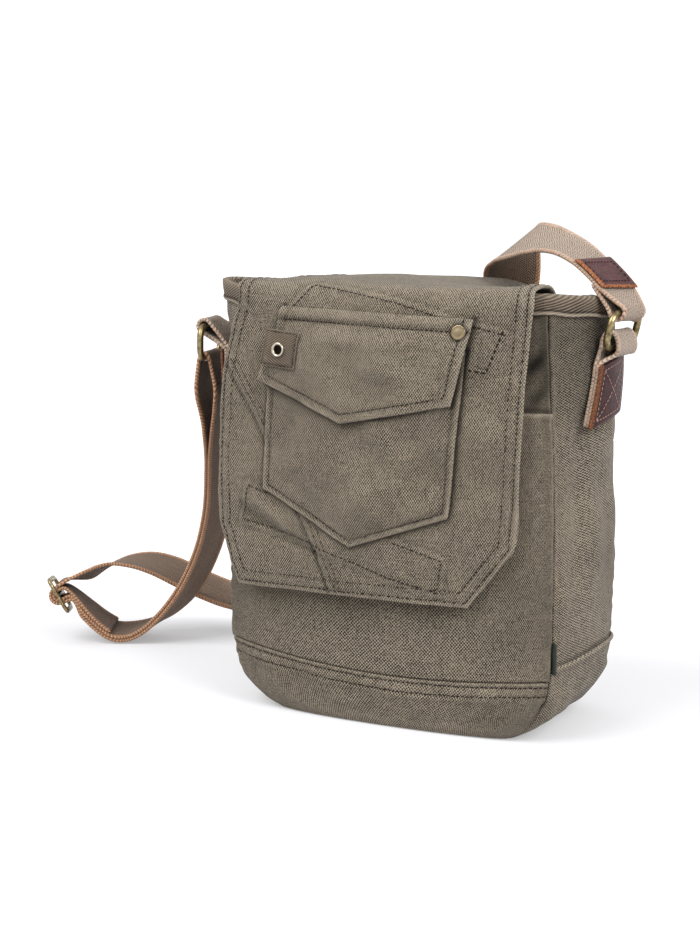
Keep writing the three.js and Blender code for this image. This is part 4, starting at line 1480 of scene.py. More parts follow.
    def locate(self, flat: Array) -> tuple[Array, Array]:
        """u and v of flat places."""
        mid, half = self.line(flat[..., 1])
        return ((flat[..., 0] - mid) / half + 1.0) / 2.0, (flat[..., 1] - self.low) / (self.end - self.low)

    def border(self) -> Array:
        """The free edge, anticlockwise seen from the front: down the left, along the bottom, up the right."""
        heights = np.array([self.end, *self.border_stops, self.cut, self.low])
        mid, half = self.line(heights)
        left, right = (beside(mid + side * half, heights) for side in (-1.0, 1.0))
        return np.concatenate([left, right[::-1]])

    def marks(self, at: Spots) -> Marks:
        """Hems, raised bands, seams and slack; rubbed edges and seam ridges, a lighter top fold and a painted
        highlight on the crease ridge; painted shade along the felled seam and stitch lines, in the crease
        hollow and under the pockets' edges.
        """
        inset, felled, aside = at.gap(self.border()), at.gap(self.felled_seam), self.seam_side(at)
        seams = [at.gap(seam) for seam in (self.upper_seam, self.lower_seam)]
        sewn = sum(bell(gap - self.band_inset, 0.8) for gap in seams)
        roped = roping(at.x + at.z, 0.9, 2.0, 0.13)
        hem = 0.8 * (1.0 - smooth((inset - 11.0) / 2.5)) + 0.34 * roped * bell(inset - 6.0, 6.0)
        patches = (self.upper_band, self.lower_band)
        bands = sum(smooth(inside_patch(at.flat, patch) / 1.4 + 0.5) for patch in patches)
        groove = sum(bell(inset - row, 0.9) for row in self.hem_rows)
        rise = hem + 0.75 * bands - 0.55 * groove - 0.4 * sewn + self.slow(at.flat)
        rise = rise - 1.3 * bell(felled, 1.1) + 0.6 * bell(aside - 5.0, 4.0)
        wear = 0.8 * bell(inset, 1.4) + 0.22 * (0.5 + 0.5 * roped) * bell(inset - 6.0, 3.5)
        # Lighter along the top fold, and a painted highlight along the crease ridge.
        wear = wear + 0.3 * bell(at.z - 276.0, 7.0) + 0.3 * bell(at.gap(self.ridge), 3.0)
        wear = wear + 0.3 * sum(bell(gap, 0.9) for gap in seams) + 0.35 * bell(aside - 1.8, 1.0)
        # Painted shadow under the edges of the pocket and its cover, and painted shade in the crease hollow.
        under = sum(bell(at.gap(piece.hem()), 1.9) for piece in (POUCH, COVER))
        under = under + 0.4 * bell(at.gap(self.hollow), 3.0)
        rows = sum(bell(inset - row, 0.8) for row in self.hem_rows)
        return rise, wear, 0.8 * bell(felled, 0.9) + 0.3 * (rows + sewn) + 0.75 * under

    def slow(self, flat: Array) -> Array:
        """Dents, creases, slack and wavy lower edge, without the sewing."""
        x, z = flat[..., 0], flat[..., 1]
        dent = -1.5 * bell(np.hypot(x + 70.0, z - 130.0), 15.0)
        creases = ((1.7, self.ridge), (-1.9, self.hollow))
        dent = dent + sum(rise * bell(line_distance(flat, line), 4.0) for rise, line in creases)
        calm = mix(1.0, 0.35, smooth((z - 262.0) / 20.0))
        soft = calm * uneven(flat, (85.0, 5, 0.9), (33.0, 6, 0.36), (13.0, 8, 0.1))
        wavy = 0.9 * np.sin(x * 0.062 + 0.6) * bell(z - self.low, 22.0)
        return dent + soft + wavy

    def seam_side(self, at: Spots) -> Array:
        """Distance to the right of the felled seam, far where there is none."""
        line = np.array(self.felled_seam)[::-1]
        x = np.interp(at.z, line[:, 1], line[:, 0])
        return np.where(at.z > self.felled_top, 99.0, (at.x - x) * self.felled_lean)

    def build(self) -> bpy.types.Object:
        """Makes and dresses the flap and its stitching; hands back the flap."""
        wide, step, seam_end = 208.0, 1.75, 94.0
        made = self.cloth.mesh(stops(wide, step), stops(self.end - self.low, step))
        flap = made.dress("flap_cloth", self.finishes.canvas, Slot.CANVAS, "flap")
        lines = [inset_line(self.border(), inset) for inset in self.hem_rows]
        lines += [inset_line(self.upper_seam, -self.band_inset), inset_line(self.lower_seam, self.band_inset)]
        lines += [((-seam_end, self.end - row), (seam_end, self.end - row)) for row in self.hem_rows]
        felled = [np.array(self.felled_seam) + (row / self.felled_lean, 0.0) for row in self.felled_rows]
        heavy = Stitching(length=2.8, pitch=3.7, width=1.3, height=0.8, seed=8)
        dark, paler = self.finishes.dark_thread_painted_shade, self.finishes.faded_thread
        for name, stitching, thread, sewn in (
            ("flap", Stitching(seed=5), dark, lines),
            ("felled_seam", Stitching(seed=6), paler, felled),
            ("band_end", heavy, dark, [inset_line(self.band_end, -self.band_inset)]),
        ):
            rows = [sewn_row(self.cloth, self, line) for line in sewn]
            stitching.mesh(rows).dress(f"{name}_stitching", thread, Slot.CANVAS)
        return flap


@dataclass
class FlapPocket:
    """Pouched pocket on the flap and the pointed flap over it."""

    finishes: Finishes
    flap: Flap
    pouch: PatchShape = POUCH
    cover: PatchShape = COVER
    pouch_thickness: float = 1.6
    cover_thickness: float = 2.0
    pouch_swell: float = 5.5
    stitch_inset: float = 3.9
    cover_inset: float = 5.5
    roll: float = 8.0
    rivet: tuple[float, float] = (56.0, 253.0)
    hole: tuple[float, float] = (-64.0, 238.0)

    def __post_init__(self) -> None:
        """Sets up the two cloths."""
        self.pouch_cloth = Cloth(self.pouch_face, self.pouch.flat, self.pouch_marks, self.pouch_thickness)
        self.cover_cloth = Cloth(self.cover_face, self.cover.flat, self.cover_marks, self.cover_thickness)

    def on_flap(self, flat: Array, lift: Any) -> Array:
        """Point above the flap's front, without its sewing."""
        return self.flap.hang(flat, lift + self.flap.slow(flat))

    def pouch_lift(self, a: Array, drop: Array) -> Array:
        """Height of the pocket's inner face above the flap."""
        hang = 0.55 + 0.45 * np.sin(np.pi * np.minimum(1.0, drop / 0.8) / 2.0)
        full = clamp01(1.0 - a * a) ** 0.7 * hang * (1.0 - smooth((drop - 0.62) / 0.38))
        return GAP + self.pouch_swell * full

    def pouch_face(self, u: Array, v: Array) -> Array:
        """Outer face of the pocket."""
        lift = self.pouch_lift(2.0 * u - 1.0, 1.0 - v)
        return self.on_flap(self.pouch.flat(u, v), lift + self.pouch_thickness)

    def cover_face(self, u: Array, v: Array) -> Array:
        """Outer face of the cover, which lies over the pocket."""
        flat = self.cover.flat(u, v)
        z = flat[..., 1]
        over = smooth((self.cover.top - 3.0 - z) / 15.0)
        drop = clamp01((self.pouch.top - z) / (self.pouch.top - self.pouch.tip))
        under = self.pouch_thickness + GAP + self.pouch_lift((2.0 * u - 1.0) * 0.97, drop)
        return self.on_flap(flat, GAP + over * under + self.cover_thickness)

    def pouch_marks(self, at: Spots) -> Marks:
        """Hem, stitch groove and slack of the pocket, its pale edge, painted shade in the groove and painted
        shadow under the cover's edge.
        """
        inset, gap = at.gap(self.pouch.hem()), at.gap(self.cover.hem())
        groove = bell(inset - self.stitch_inset, 0.9)
        roped = 0.4 * roping(at.x - at.z, 0.85, 1.5, 0.12) * bell(inset - 3.0, 3.5)
        soft = uneven(at.flat, (48.0, 15, 0.85), (20.0, 16, 0.3)) * smooth(inset / 14.0)
        rise = 0.9 * bell(inset - 1.6, 1.7) + roped - 0.8 * groove + soft
        # Painted shade in the stitch groove, and painted shadow under the cover's edge with a softer one
        # spreading below it.
        shade = 0.4 * groove + 0.55 * bell(gap, 2.4) + 0.16 * bell(gap, 16.0)
        return rise, 0.75 * bell(inset - 0.6, 1.2), shade

    def cover_marks(self, at: Spots) -> Marks:
        """Rolled top, hemmed point, slack and pale edges of the cover; painted shade in grooves, round the
        rivet and in the hole behind the eyelet.
        """
        inset, drop, wide = at.gap(self.cover.hem()), self.cover.drop(at.flat), 130.0
        rivet, row = at.away(self.rivet), bell(drop - self.roll, 0.9)
        pressed = 1.0 - 0.8 * bell(rivet, 6.5)
        roll = 0.8 * (1.0 - smooth((drop - self.roll + 2.0) / 2.0)) + 0.7 * bell(drop - 4.0, 3.0)
        hem = 0.6 * (1.0 - smooth((inset - self.cover_inset - 0.6) / 1.6)) + 0.5 * bell(inset - 2.2, 1.8)
        groove = bell(inset - self.cover_inset, 0.8) + row
        roped = 0.34 * roping(at.x + at.z, 0.8, 1.5, 0.11) * bell(inset - 3.0, 3.5)
        soft = uneven(at.flat, (40.0, 25, 0.75), (16.0, 26, 0.24)) * smooth((drop - self.roll) / 12.0)
        edges = 0.6 * bell(inset - 0.5, 1.2) + 0.3 * bell((1.0 - at.u) * wide, 5.0)
        wear = edges + 0.4 * bell(drop - 2.6, 2.2) + 0.15 * smooth(inset / 18.0)
        # Painted shade in the stitch grooves and a painted shadow ring round the rivet's foot.
        shade = 0.4 * bell(inset - self.cover_inset, 0.9) + 0.45 * row + 0.7 * bell(rivet - 4.9, 1.0)
        # Painted shade where the hole behind the eyelet shows.
        hole = smooth((3.4 - at.away(self.hole)) / 0.8)
        return roll * pressed + hem + roped - 0.6 * groove + soft, wear, shade + hole

    def build(self) -> None:
        """Makes and dresses the pocket, its cover and their stitching."""
        canvas, row_end = self.finishes.canvas, 62.0
        pocket = self.pouch_cloth.mesh(stops(132.0, 1.5), stops(115.0, 1.5))
        pocket.dress("flap_pocket_cloth", canvas, Slot.CANVAS, "flap_pocket")
        cover = self.cover_cloth.mesh(stops(134.0, 1.3), stops(58.0, 1.1))
        cover.dress("pocket_flap_cloth", canvas, Slot.CANVAS, "pocket_flap")
        border = inset_line(self.cover.hem(), self.cover_inset)[1:5]
        top = [(row_end * a, self.cover.head(a) - self.roll) for a in (-1.0, 1.0)]
        rows = [sewn_row(self.pouch_cloth, self.pouch, inset_line(self.pouch.hem(), self.stitch_inset))]
        rows += [sewn_row(self.cover_cloth, self.cover, line) for line in (border, top)]
        Stitching(seed=7).mesh(rows).dress("pocket_stitching", self.finishes.dark_thread_painted_shade, Slot.CANVAS)


@dataclass
class PocketHardware:
    """Herringbone tab with its brass eyelet, and the domed rivet, on the pocket's cover."""

    finishes: Finishes
    pocket: FlapPocket
    tab_corners: Line = ((-77.6, 228.6), (-52.2, 226.4), (-48.6, 249.6), (-73.4, 251.4))
    tab_thickness: float = 1.3
    tab_lift: float = 0.75
    tab_row: float = 1.4
    eyelet: tuple[float, float] = (-63.4, 238.6)
    hole: float = 2.9
    barrel: float = 3.4
    flange: float = 4.6
    rivet_radius: float = 4.6

    def on_cover(self, flat: Array, lift: Any) -> Array:
        """Point above the cover's face, which is carried on past its edges."""
        pocket, forward = self.pocket, np.array([0.0, -1.0, 0.0])
        u, v = (clamp01(place) for place in pocket.cover.locate(flat))
        past = pocket.on_flap(flat, 0.0) - pocket.on_flap(pocket.cover.flat(u, v), 0.0)
        return pocket.cover_face(u, v) + past + np.asarray(lift)[..., None] * forward

    def frame_at(self, spot: tuple[float, float], lift: float) -> tuple[Array, Array, Array, Array]:
        """Place, right, up and outward directions at a spot on the cover."""
        near = np.array([(0, 0), (-4, 0), (4, 0), (0, -4), (0, 4)], dtype=float)
        centre, left, right, low, high = self.on_cover(spot + near, lift)
        across, up = unit(right - left), unit(high - low)
        out = unit(np.cross(across, up))
        return centre, across, np.cross(out, across), out

    def turned(self, profile: Rows, spot: tuple[float, float], lift: float) -> Mesh:
        """A turned piece of radius and height pairs, closed by itself or else by a disc at each end."""
        sides = 48
        centre, across, up, out = self.frame_at(spot, lift)
        turn = around(sides)
        radius, height = np.array(profile).T[..., None]
        level = beside(radius * np.cos(turn), radius * np.sin(turn))
        grid = centre + level[..., :1] * across + level[..., 1:] * up + height[..., None] * out
        faces = [grid_faces(len(profile), sides, 0, True)]
        if profile[0] != profile[-1]:
            disc = np.arange(sides)[None]
            faces += [disc[:, ::-1], (len(profile) - 1) * sides + disc]
        # Painted shade on the lowest rows, where the piece meets the cloth, and rubbed crowns on the highest.
        shade, wear = np.where(height < 0.5, 0.8, 0.0), np.where(height > 0.9, 0.35, 0.0)
        return Mesh.of_grid(grid, faces, level * 2.0, shade=shade, wear=wear)

    def tab(self) -> None:
        """The square tab round its hole, with its stitched border."""
        corners, turns = np.array(self.tab_corners), 96
        angle = around(turns)
        ring = self.eyelet + beside(np.cos(angle), np.sin(angle)) * (self.barrel + GAP)
        edges = zip(corners, np.roll(corners, -1, axis=0))
        square = np.concatenate([np.linspace(start, end, turns // 4, endpoint=False) for start, end in edges])
        first = int(np.argmin(np.abs(np.arctan2(*(square - self.eyelet).T[::-1]))))
        square = np.roll(square, -first, axis=0)
        near, far = [1.0, 0.993, 0.98, 0.96, 0.93], [0.08, 0.03, 0.0]
        shares = np.concatenate([near, np.linspace(0.88, 0.15, 12), far])
        flat = ring + (square - ring) * shares[:, None, None]
        inset = inside_patch(flat, corners[::-1])
        half = np.maximum(self.tab_thickness / 2.0 * rounding(inset, 0.7), 0.04)
        puff = 0.3 * bell(inset - 3.0, 1.2) - 0.35 * bell(inset - self.tab_row, 0.7)
        lift = self.tab_lift + self.tab_thickness / 2.0 + puff + 0.18 * ripple(flat, 9.0, 4)
        middle = self.on_cover(flat, lift)
        out = self.frame_at(self.eyelet, 0.0)[3]
        # Painted shade along the tab's stitch line.
        paint = {"wear": 0.12 * bell(inset - 0.4, 0.9), "shade": 0.35 * bell(inset - self.tab_row, 0.8)}
        made = closed_sheet(middle, out, half, flat, paint, loop=True)
        made.dress("eyelet_tab_twill", self.finishes.herringbone, Slot.TAPE, "eyelet_tab")
        line = fine_line(inset_line(corners, self.tab_row))
        points = self.on_cover(line, self.tab_lift + self.tab_thickness - 0.25)
        made = Stitching(length=2.2, pitch=2.8, seed=9).mesh([(points, np.broadcast_to(out, points.shape))])
        made.dress("eyelet_tab_stitching", self.finishes.dark_thread_painted_shade, Slot.TAPE)

    def build(self) -> None:
        """Makes and dresses the tab, the eyelet and the rivet."""
        self.tab()
        hole, barrel, flange, top = self.hole, self.barrel, self.flange, self.tab_thickness + GAP
        ring = (
            (hole, 0.0), (barrel, 0.0), (barrel, top), (flange, top), (flange + 0.1, top + 0.3),
            (flange - 0.25, top + 0.75), (barrel + 0.9, top + 1.05), (barrel + 0.2, top + 1.0),
            (hole + 0.2, top + 0.6), (hole, top), (hole, 0.0),
        )
        made = self.turned(ring, self.eyelet, 0.8)
        made.dress("eyelet_brass", self.finishes.pale_brass, Slot.BRASS, "eyelet")
        r = self.rivet_radius
        dome = (
            (r, 0.0), (r + 0.1, 0.5), (r, 1.0), (r * 0.96, 1.26), (r * 0.9, 1.4), (r * 0.82, 1.42),
            (r * 0.74, 1.36), (r * 0.5, 1.44), (r * 0.25, 1.5), (r * 0.1, 1.52),
        )
        made = self.turned(dome, self.pocket.rivet, 0.5)
        made.dress("rivet_brass", self.finishes.bronze, Slot.BRASS, "rivet")


# Rings, tabs, strap and slider

@dataclass
class Hang:
    """Where a ring hangs: middle of its lower bar, direction of its bars, direction between them."""

    low: Array
    along: Array
    lean: Array
    inside: float = 40.0
    height: float = 17.0
    wire: float = 4.4
    corner: float = 8.0

    @property
    def span(self) -> float:
        """Distance between the middles of the two bars."""
        return self.height + self.wire

    @property
    def high(self) -> Array:
        """Middle of the upper bar."""
        return self.low + self.lean * self.span

    def ring(self) -> Mesh:
        """Round wire bent into a rectangle."""
        path = rounded_frame((self.inside + self.wire) / 2.0, self.span / 2.0, self.corner, 10)
        middle = (self.low + self.high) / 2.0
        centre = middle + path[:, :1] * self.along + path[:, 1:] * self.lean
        return tube(centre, np.cross(self.along, self.lean), self.wire / 2.0, self.wire / 2.0)


def wire_rows(centre: Array, face: Array, side: Array, deep: float, wide: float) -> tuple[Array, Array]:
    """Rows of points along a wire, round it and back to the first row.

    Args:
        centre: points along the wire.
        face: direction of its depth.
        side: direction of its width.
        deep: half its depth.
        wide: half its width.

    Returns:
        The rows and the distance round of each.
    """
    turn = around(WIRE_SIDES)[:, None, None]
    grid = centre + deep * np.cos(turn) * face + wide * np.sin(turn) * side
    return np.concatenate([grid, grid[:1]]), np.append(turn, FULL_TURN)[:, None] * wide


def tube(centre: Array, face: Array, deep: float, wide: float) -> Mesh:
    """Closed loop of wire about points, with half its size along face, square to the loop, and across it."""
    along = unit(np.roll(centre, -1, axis=0) - np.roll(centre, 1, axis=0))
    face = unit(face)
    grid, turned = wire_rows(centre, face, unit(np.cross(along, face)), deep, wide)
    reach = running(np.concatenate([centre, centre[:1]]))[1:]
    flat = beside(turned, reach)
    return Mesh.of_grid(grid, [grid_faces(len(grid), len(centre), 0, True, True)], flat)


def path_through(rows: Rows, parts: int) -> tuple[Array, Array]:
    """Smooth middles and directions across a strap, through table rows.

    Args:
        rows: x, y, z and the direction across, for each row.
        parts: steps between rows.

    Returns:
        Middles and unit directions across.
    """
    data = np.array(rows, dtype=float)
    t = np.linspace(0.0, 1.0, (len(rows) - 1) * parts + 1) * (len(rows) - 1)
    i = np.minimum(t.astype(int), len(rows) - 2)
    w = (t - i)[:, None]
    padded = np.concatenate([[2 * data[0] - data[1]], data, [2 * data[-1] - data[-2]]])
    p0, p1, p2, p3 = (padded[i + k] for k in range(4))
    pairs = ((p0, p1), (p1, p2), (p2, p3))
    first, here, last = (
        np.maximum(np.linalg.norm((b - a)[:, :3], axis=1, keepdims=True) ** 0.5, 1e-4) for a, b in pairs
    )
    leave = ((p1 - p0) / first - (p2 - p0) / (first + here) + (p2 - p1) / here) * here
    arrive = ((p2 - p1) / here - (p3 - p1) / (here + last) + (p3 - p2) / last) * here
    middle = hermite(p1, p2, leave, arrive, w)[:, :3]
    across = hermite(p1, p2, (p2 - p0) / 2.0, (p3 - p1) / 2.0, w)[:, 3:]
    return middle, unit(across)


def off_path(middle: Array, across: Array, lift: Any, side: Optional[Array] = None) -> Array:
    """Middles moved off their path, on the side of a direction."""
    before = np.concatenate([middle[:1], middle[:-1]])
    after = np.concatenate([middle[1:], middle[-1:]])
    normal = unit(np.cross(unit(after - before), across))
    if side is not None:
        normal = normal * np.where(normal @ side < 0, -1.0, 1.0)[:, None]
    return middle + normal * np.broadcast_to(lift, len(middle))[:, None]


def turn_about(
    centre: Array,
    start: Array,
    over: Array,
    radius: float,
    more: float = 0.0,
    rise: float = 1.0,
) -> Array:
    """Points of a half turn about a bar.

    Args:
        centre: the bar.
        start: direction where the turn starts.
        over: direction that it passes.
        radius: size of the turn.
        more: angle past the half turn.
        rise: how many radii it stands over the bar.

    Returns:
        The points in order.
    """
    angle = (math.pi + more) * np.linspace(0.0, 1.0, 13)[:, None]
    height = np.sin(angle) * np.where(angle < math.pi, rise, 1.0)
    return centre + start * radius * np.cos(angle) + over * radius * height


def even_rows(rows: Array, step: float, soften: int) -> tuple[Array, Array]:
    """Station rows at even distances along a strip.

    Args:
        rows: stations, points across, three numbers.
        step: distance wanted.
        soften: passes of smoothing.

    Returns:
        The even rows and the distance along of each.
    """
    least = 0.05
    rows = rows[np.append(True, np.diff(running(rows.mean(axis=1))) > least)]
    reach = running(rows.mean(axis=1))
    at = np.linspace(0.0, reach[-1], int(reach[-1] / step) + 1)
    table = Table(tuple(map(tuple, np.concatenate([reach[:, None], rows.reshape(len(rows), -1)], axis=1))))
    found = table.read(at).T.reshape(len(at), *rows.shape[1:])
    for _ in range(soften):
        found[1:-1] = (found[:-2] + 2.0 * found[1:-1] + found[2:]) / 4.0
    return found, at


def across_marks() -> Array:
    """Places across the webbing, closer at its edges."""
    near, clear, count = np.array([0.0, 0.15, 0.45, 1.0, 1.9, 3.0]), 4.5, 9
    middle = np.linspace(clear - HALF_WEBBING, HALF_WEBBING - clear, count)
    return np.concatenate([near - HALF_WEBBING, middle, HALF_WEBBING - near[::-1]])


@dataclass
class Strip:
    """A strip of webbing or leather through station rows, with rounded edges, the long ones beaded."""

    thickness: float
    bead: float = 0.0
    step: float = 1.6
    soften: int = 1
    rim: float = 0.6

    def mesh(self, rows: Array, marks: Array, wear: Relief, shade: Optional[Relief] = None) -> Mesh:
        """Closes the strip.

        Args:
            rows: stations, points across at marks, three numbers.
            marks: distance of each point across from the strip's middle.
            wear: where it is rubbed or raw, and painted light on the strap's arch.
            shade: where it is dark.

        Returns:
            The closed strip.
        """
        even, reach = even_rows(rows, self.step, self.soften)
        inset = np.minimum(marks - marks[0], marks[-1] - marks)
        ends = np.minimum(reach, reach[-1] - reach)[:, None]
        rim = self.thickness * self.rim
        bead = self.bead * bell(inset - 1.3, 1.1)
        half = np.maximum(self.thickness / 2.0 * rounding(inset, rim) + bead, 0.04)
        half = half * np.maximum(rounding(ends, rim), 0.06)
        flat = beside(marks, reach[:, None])
        at = Spots(flat[..., 0] / marks[-1], flat[..., 1] / reach[-1], flat)
        paint = {"wear": wear(at)}
        if shade is not None:
            paint["shade"] = shade(at)
        return closed_sheet(even, grid_normals(even), half, flat, paint)


@dataclass(frozen=True)
class PatchEdges:
    """Raw edges of a leather patch, whose near side is at -1 or at 1, with painted shade over it and along
    its stitched border.
    """

    near: float
    wide: float
    narrow: float
    end: float
    end_soft: float
    dim: float
    sewn: float
    sewn_width: float
    side_soft: float = 0.8
    border: float = 4.2

    def raw(self, at: Spots) -> Array:
        """Raw tan edges, widest on the near side and at the lower end."""
        wide = np.where(at.u * self.near > 0, self.wide, self.narrow)
        side = smooth((wide - (1.0 - np.abs(at.u)) * HALF_WEBBING) / self.side_soft)
        return np.maximum(side, smooth((self.end - at.z) / self.end_soft))

    def dark(self, at: Spots) -> Array:
        """Painted shade: an even amount over the patch and more along its stitched border."""
        return self.dim + self.sewn * bell((1.0 - np.abs(at.u)) * HALF_WEBBING - self.border, self.sewn_width)


@dataclass
class RingMount:
    """A tab of webbing on a gusset, rolled round a ring's bar, its leather patch and the ring."""

    finishes: Finishes
    body: BagBody
    side: Side
    hang: Hang
    middle: float
    turn: float
    out: Array
    roll_bar: Array
    roll_tilt: float
    roll_radius: float
    roll_more: float
    roll_rise: float
    foot: float = 199.5
    head: float = 236.5
    lean: float = 11.0
    slant: float = 3.9
    reach: float = 17.6
    first: float = 1.35
    second: float = 3.7
    patch: float = 5.85
    patch_thickness: float = 1.6
    gather: float = 0.78
    paler: float = 0.7

    def laid(self, height: Array, place: Array, lift: float, reach: float) -> Array:
        """Points laid on the gusset at heights and at places across."""
        y = self.middle - self.lean * clamp01((self.head - height) / (self.head - self.foot))
        y = y + self.turn * place * reach
        return self.body.on_gusset(self.side, y, height + self.turn * place * self.slant, lift)

    def build(self) -> None:
        """Makes and dresses the ring, the tab and the patch."""
        word, marks = self.side.word, across_marks()
        self.hang.ring().dress(f"ring_{word}_brass", self.finishes.brass, Slot.BRASS, f"ring_{word}")
        q = marks / HALF_WEBBING
        heights = np.linspace(self.foot, self.head, 7)[:, None]
        start = UP * math.sin(self.roll_tilt) - self.out * math.cos(self.roll_tilt)
        over = UP * math.cos(self.roll_tilt) + self.out * math.sin(self.roll_tilt)
        rolled = turn_about(self.roll_bar, start, over, self.roll_radius, self.roll_more, self.roll_rise)
        rows = np.concatenate([
            self.laid(heights, q, self.first, self.reach),
            rolled[:, None] + (marks * self.gather)[:, None] * self.hang.along,
            self.laid(heights[::-1], q, self.second, self.reach),
        ])
        made = Strip(WEBBING_THICKNESS, bead=0.3).mesh(rows, marks, lambda at: self.paler + 0.0 * at.u)
        made.dress(f"tab_{word}_webbing", self.finishes.webbing, Slot.WEBBING, f"tab_{word}")
        self.leather(q, marks)

    def leather(self, q: Array, marks: Array) -> None:
        """The patch over the tab's foot, with its stitched cross."""
        node = f"tab_patch_{self.side.word}"
        # An even painted shade darkens the tab patches, which face the side lamp.
        edges = PatchEdges(-self.turn, 3.6, 0.9, 1.1, 0.6, 0.5, 0.3, 0.7)
        heights = np.linspace(self.foot - 1.5, self.head - 0.6, 24)[:, None]
        rows = self.laid(heights, q, self.patch, self.reach + 0.6)
        made = Strip(self.patch_thickness, step=1.2, soften=0).mesh(rows, marks, edges.raw, edges.dark)
        made.dress(f"{node}_leather", self.finishes.leather, Slot.LEATHER, node)
        low, high, side = self.foot + 2.5, self.head - 4.5, 0.76 * self.reach
        a, b, c, d = (-side, low), (side, low), (side, high), (-side, high)
        top = self.patch + self.patch_thickness / 2.0
        stitched = []
        for line in ((a, b, c, d, a), (a, c), (b, d)):
            place, height = fine_line(line).T
            points = self.laid(height, place / self.reach, top, self.reach)
            stitched.append((points, np.broadcast_to(self.out, points.shape)))
        made = Stitching(length=2.4, seed=13).mesh(stitched)
        made.dress(f"{node}_stitching", self.finishes.pale_thread, Slot.LEATHER)


@dataclass
class Slider:
    """Three-bar brass slider at the far end of the loop."""

    finishes: Finishes
    centre: Array
    along: Array
    face: Array
    bar: float = 4.0
    slot: float = 9.0
    thickness: float = 3.0
    inside: float = 41.0
    corner: float = 5.0

    def __post_init__(self) -> None:
        """Squares the slider's directions."""
        self.out = squared(self.face, self.along)
        up = unit(np.cross(self.along, self.out))
        self.up = up if up[2] > 0 else -up

    def at(self, inward: float, up: float) -> Array:
        """Point near the slider."""
        return self.centre - self.out * inward + self.up * up

    def build(self) -> None:
        """Makes and dresses the frame with its middle bar, which the strap turns about."""
        half, deep, wide = (self.inside + self.bar) / 2.0, self.thickness / 2.0, self.bar / 2.0
        path = rounded_frame(half, self.bar + self.slot, self.corner, 8)
        ring = tube(self.centre + path[:, :1] * self.along + path[:, 1:] * self.up, self.out, deep, wide)
        places = np.linspace(-half, half, 30)
        grid, turned = wire_rows(self.centre + places[:, None] * self.along, self.out, self.up, deep, wide)
        first = np.arange(WIRE_SIDES)[None] * len(places)
        last = first[:, ::-1] + len(places) - 1
        flat = beside(turned, places)
        bar = Mesh.of_grid(grid, [grid_faces(len(grid), len(places)), first, last], flat)
        whole = Mesh(
            np.concatenate([ring.points, bar.points]),
            ring.faces + [f + len(ring.points) for f in bar.faces],
            np.concatenate([ring.flat, bar.flat]),
            {},
        )
        whole.dress("slider_brass", self.finishes.brass, Slot.BRASS, "slider")


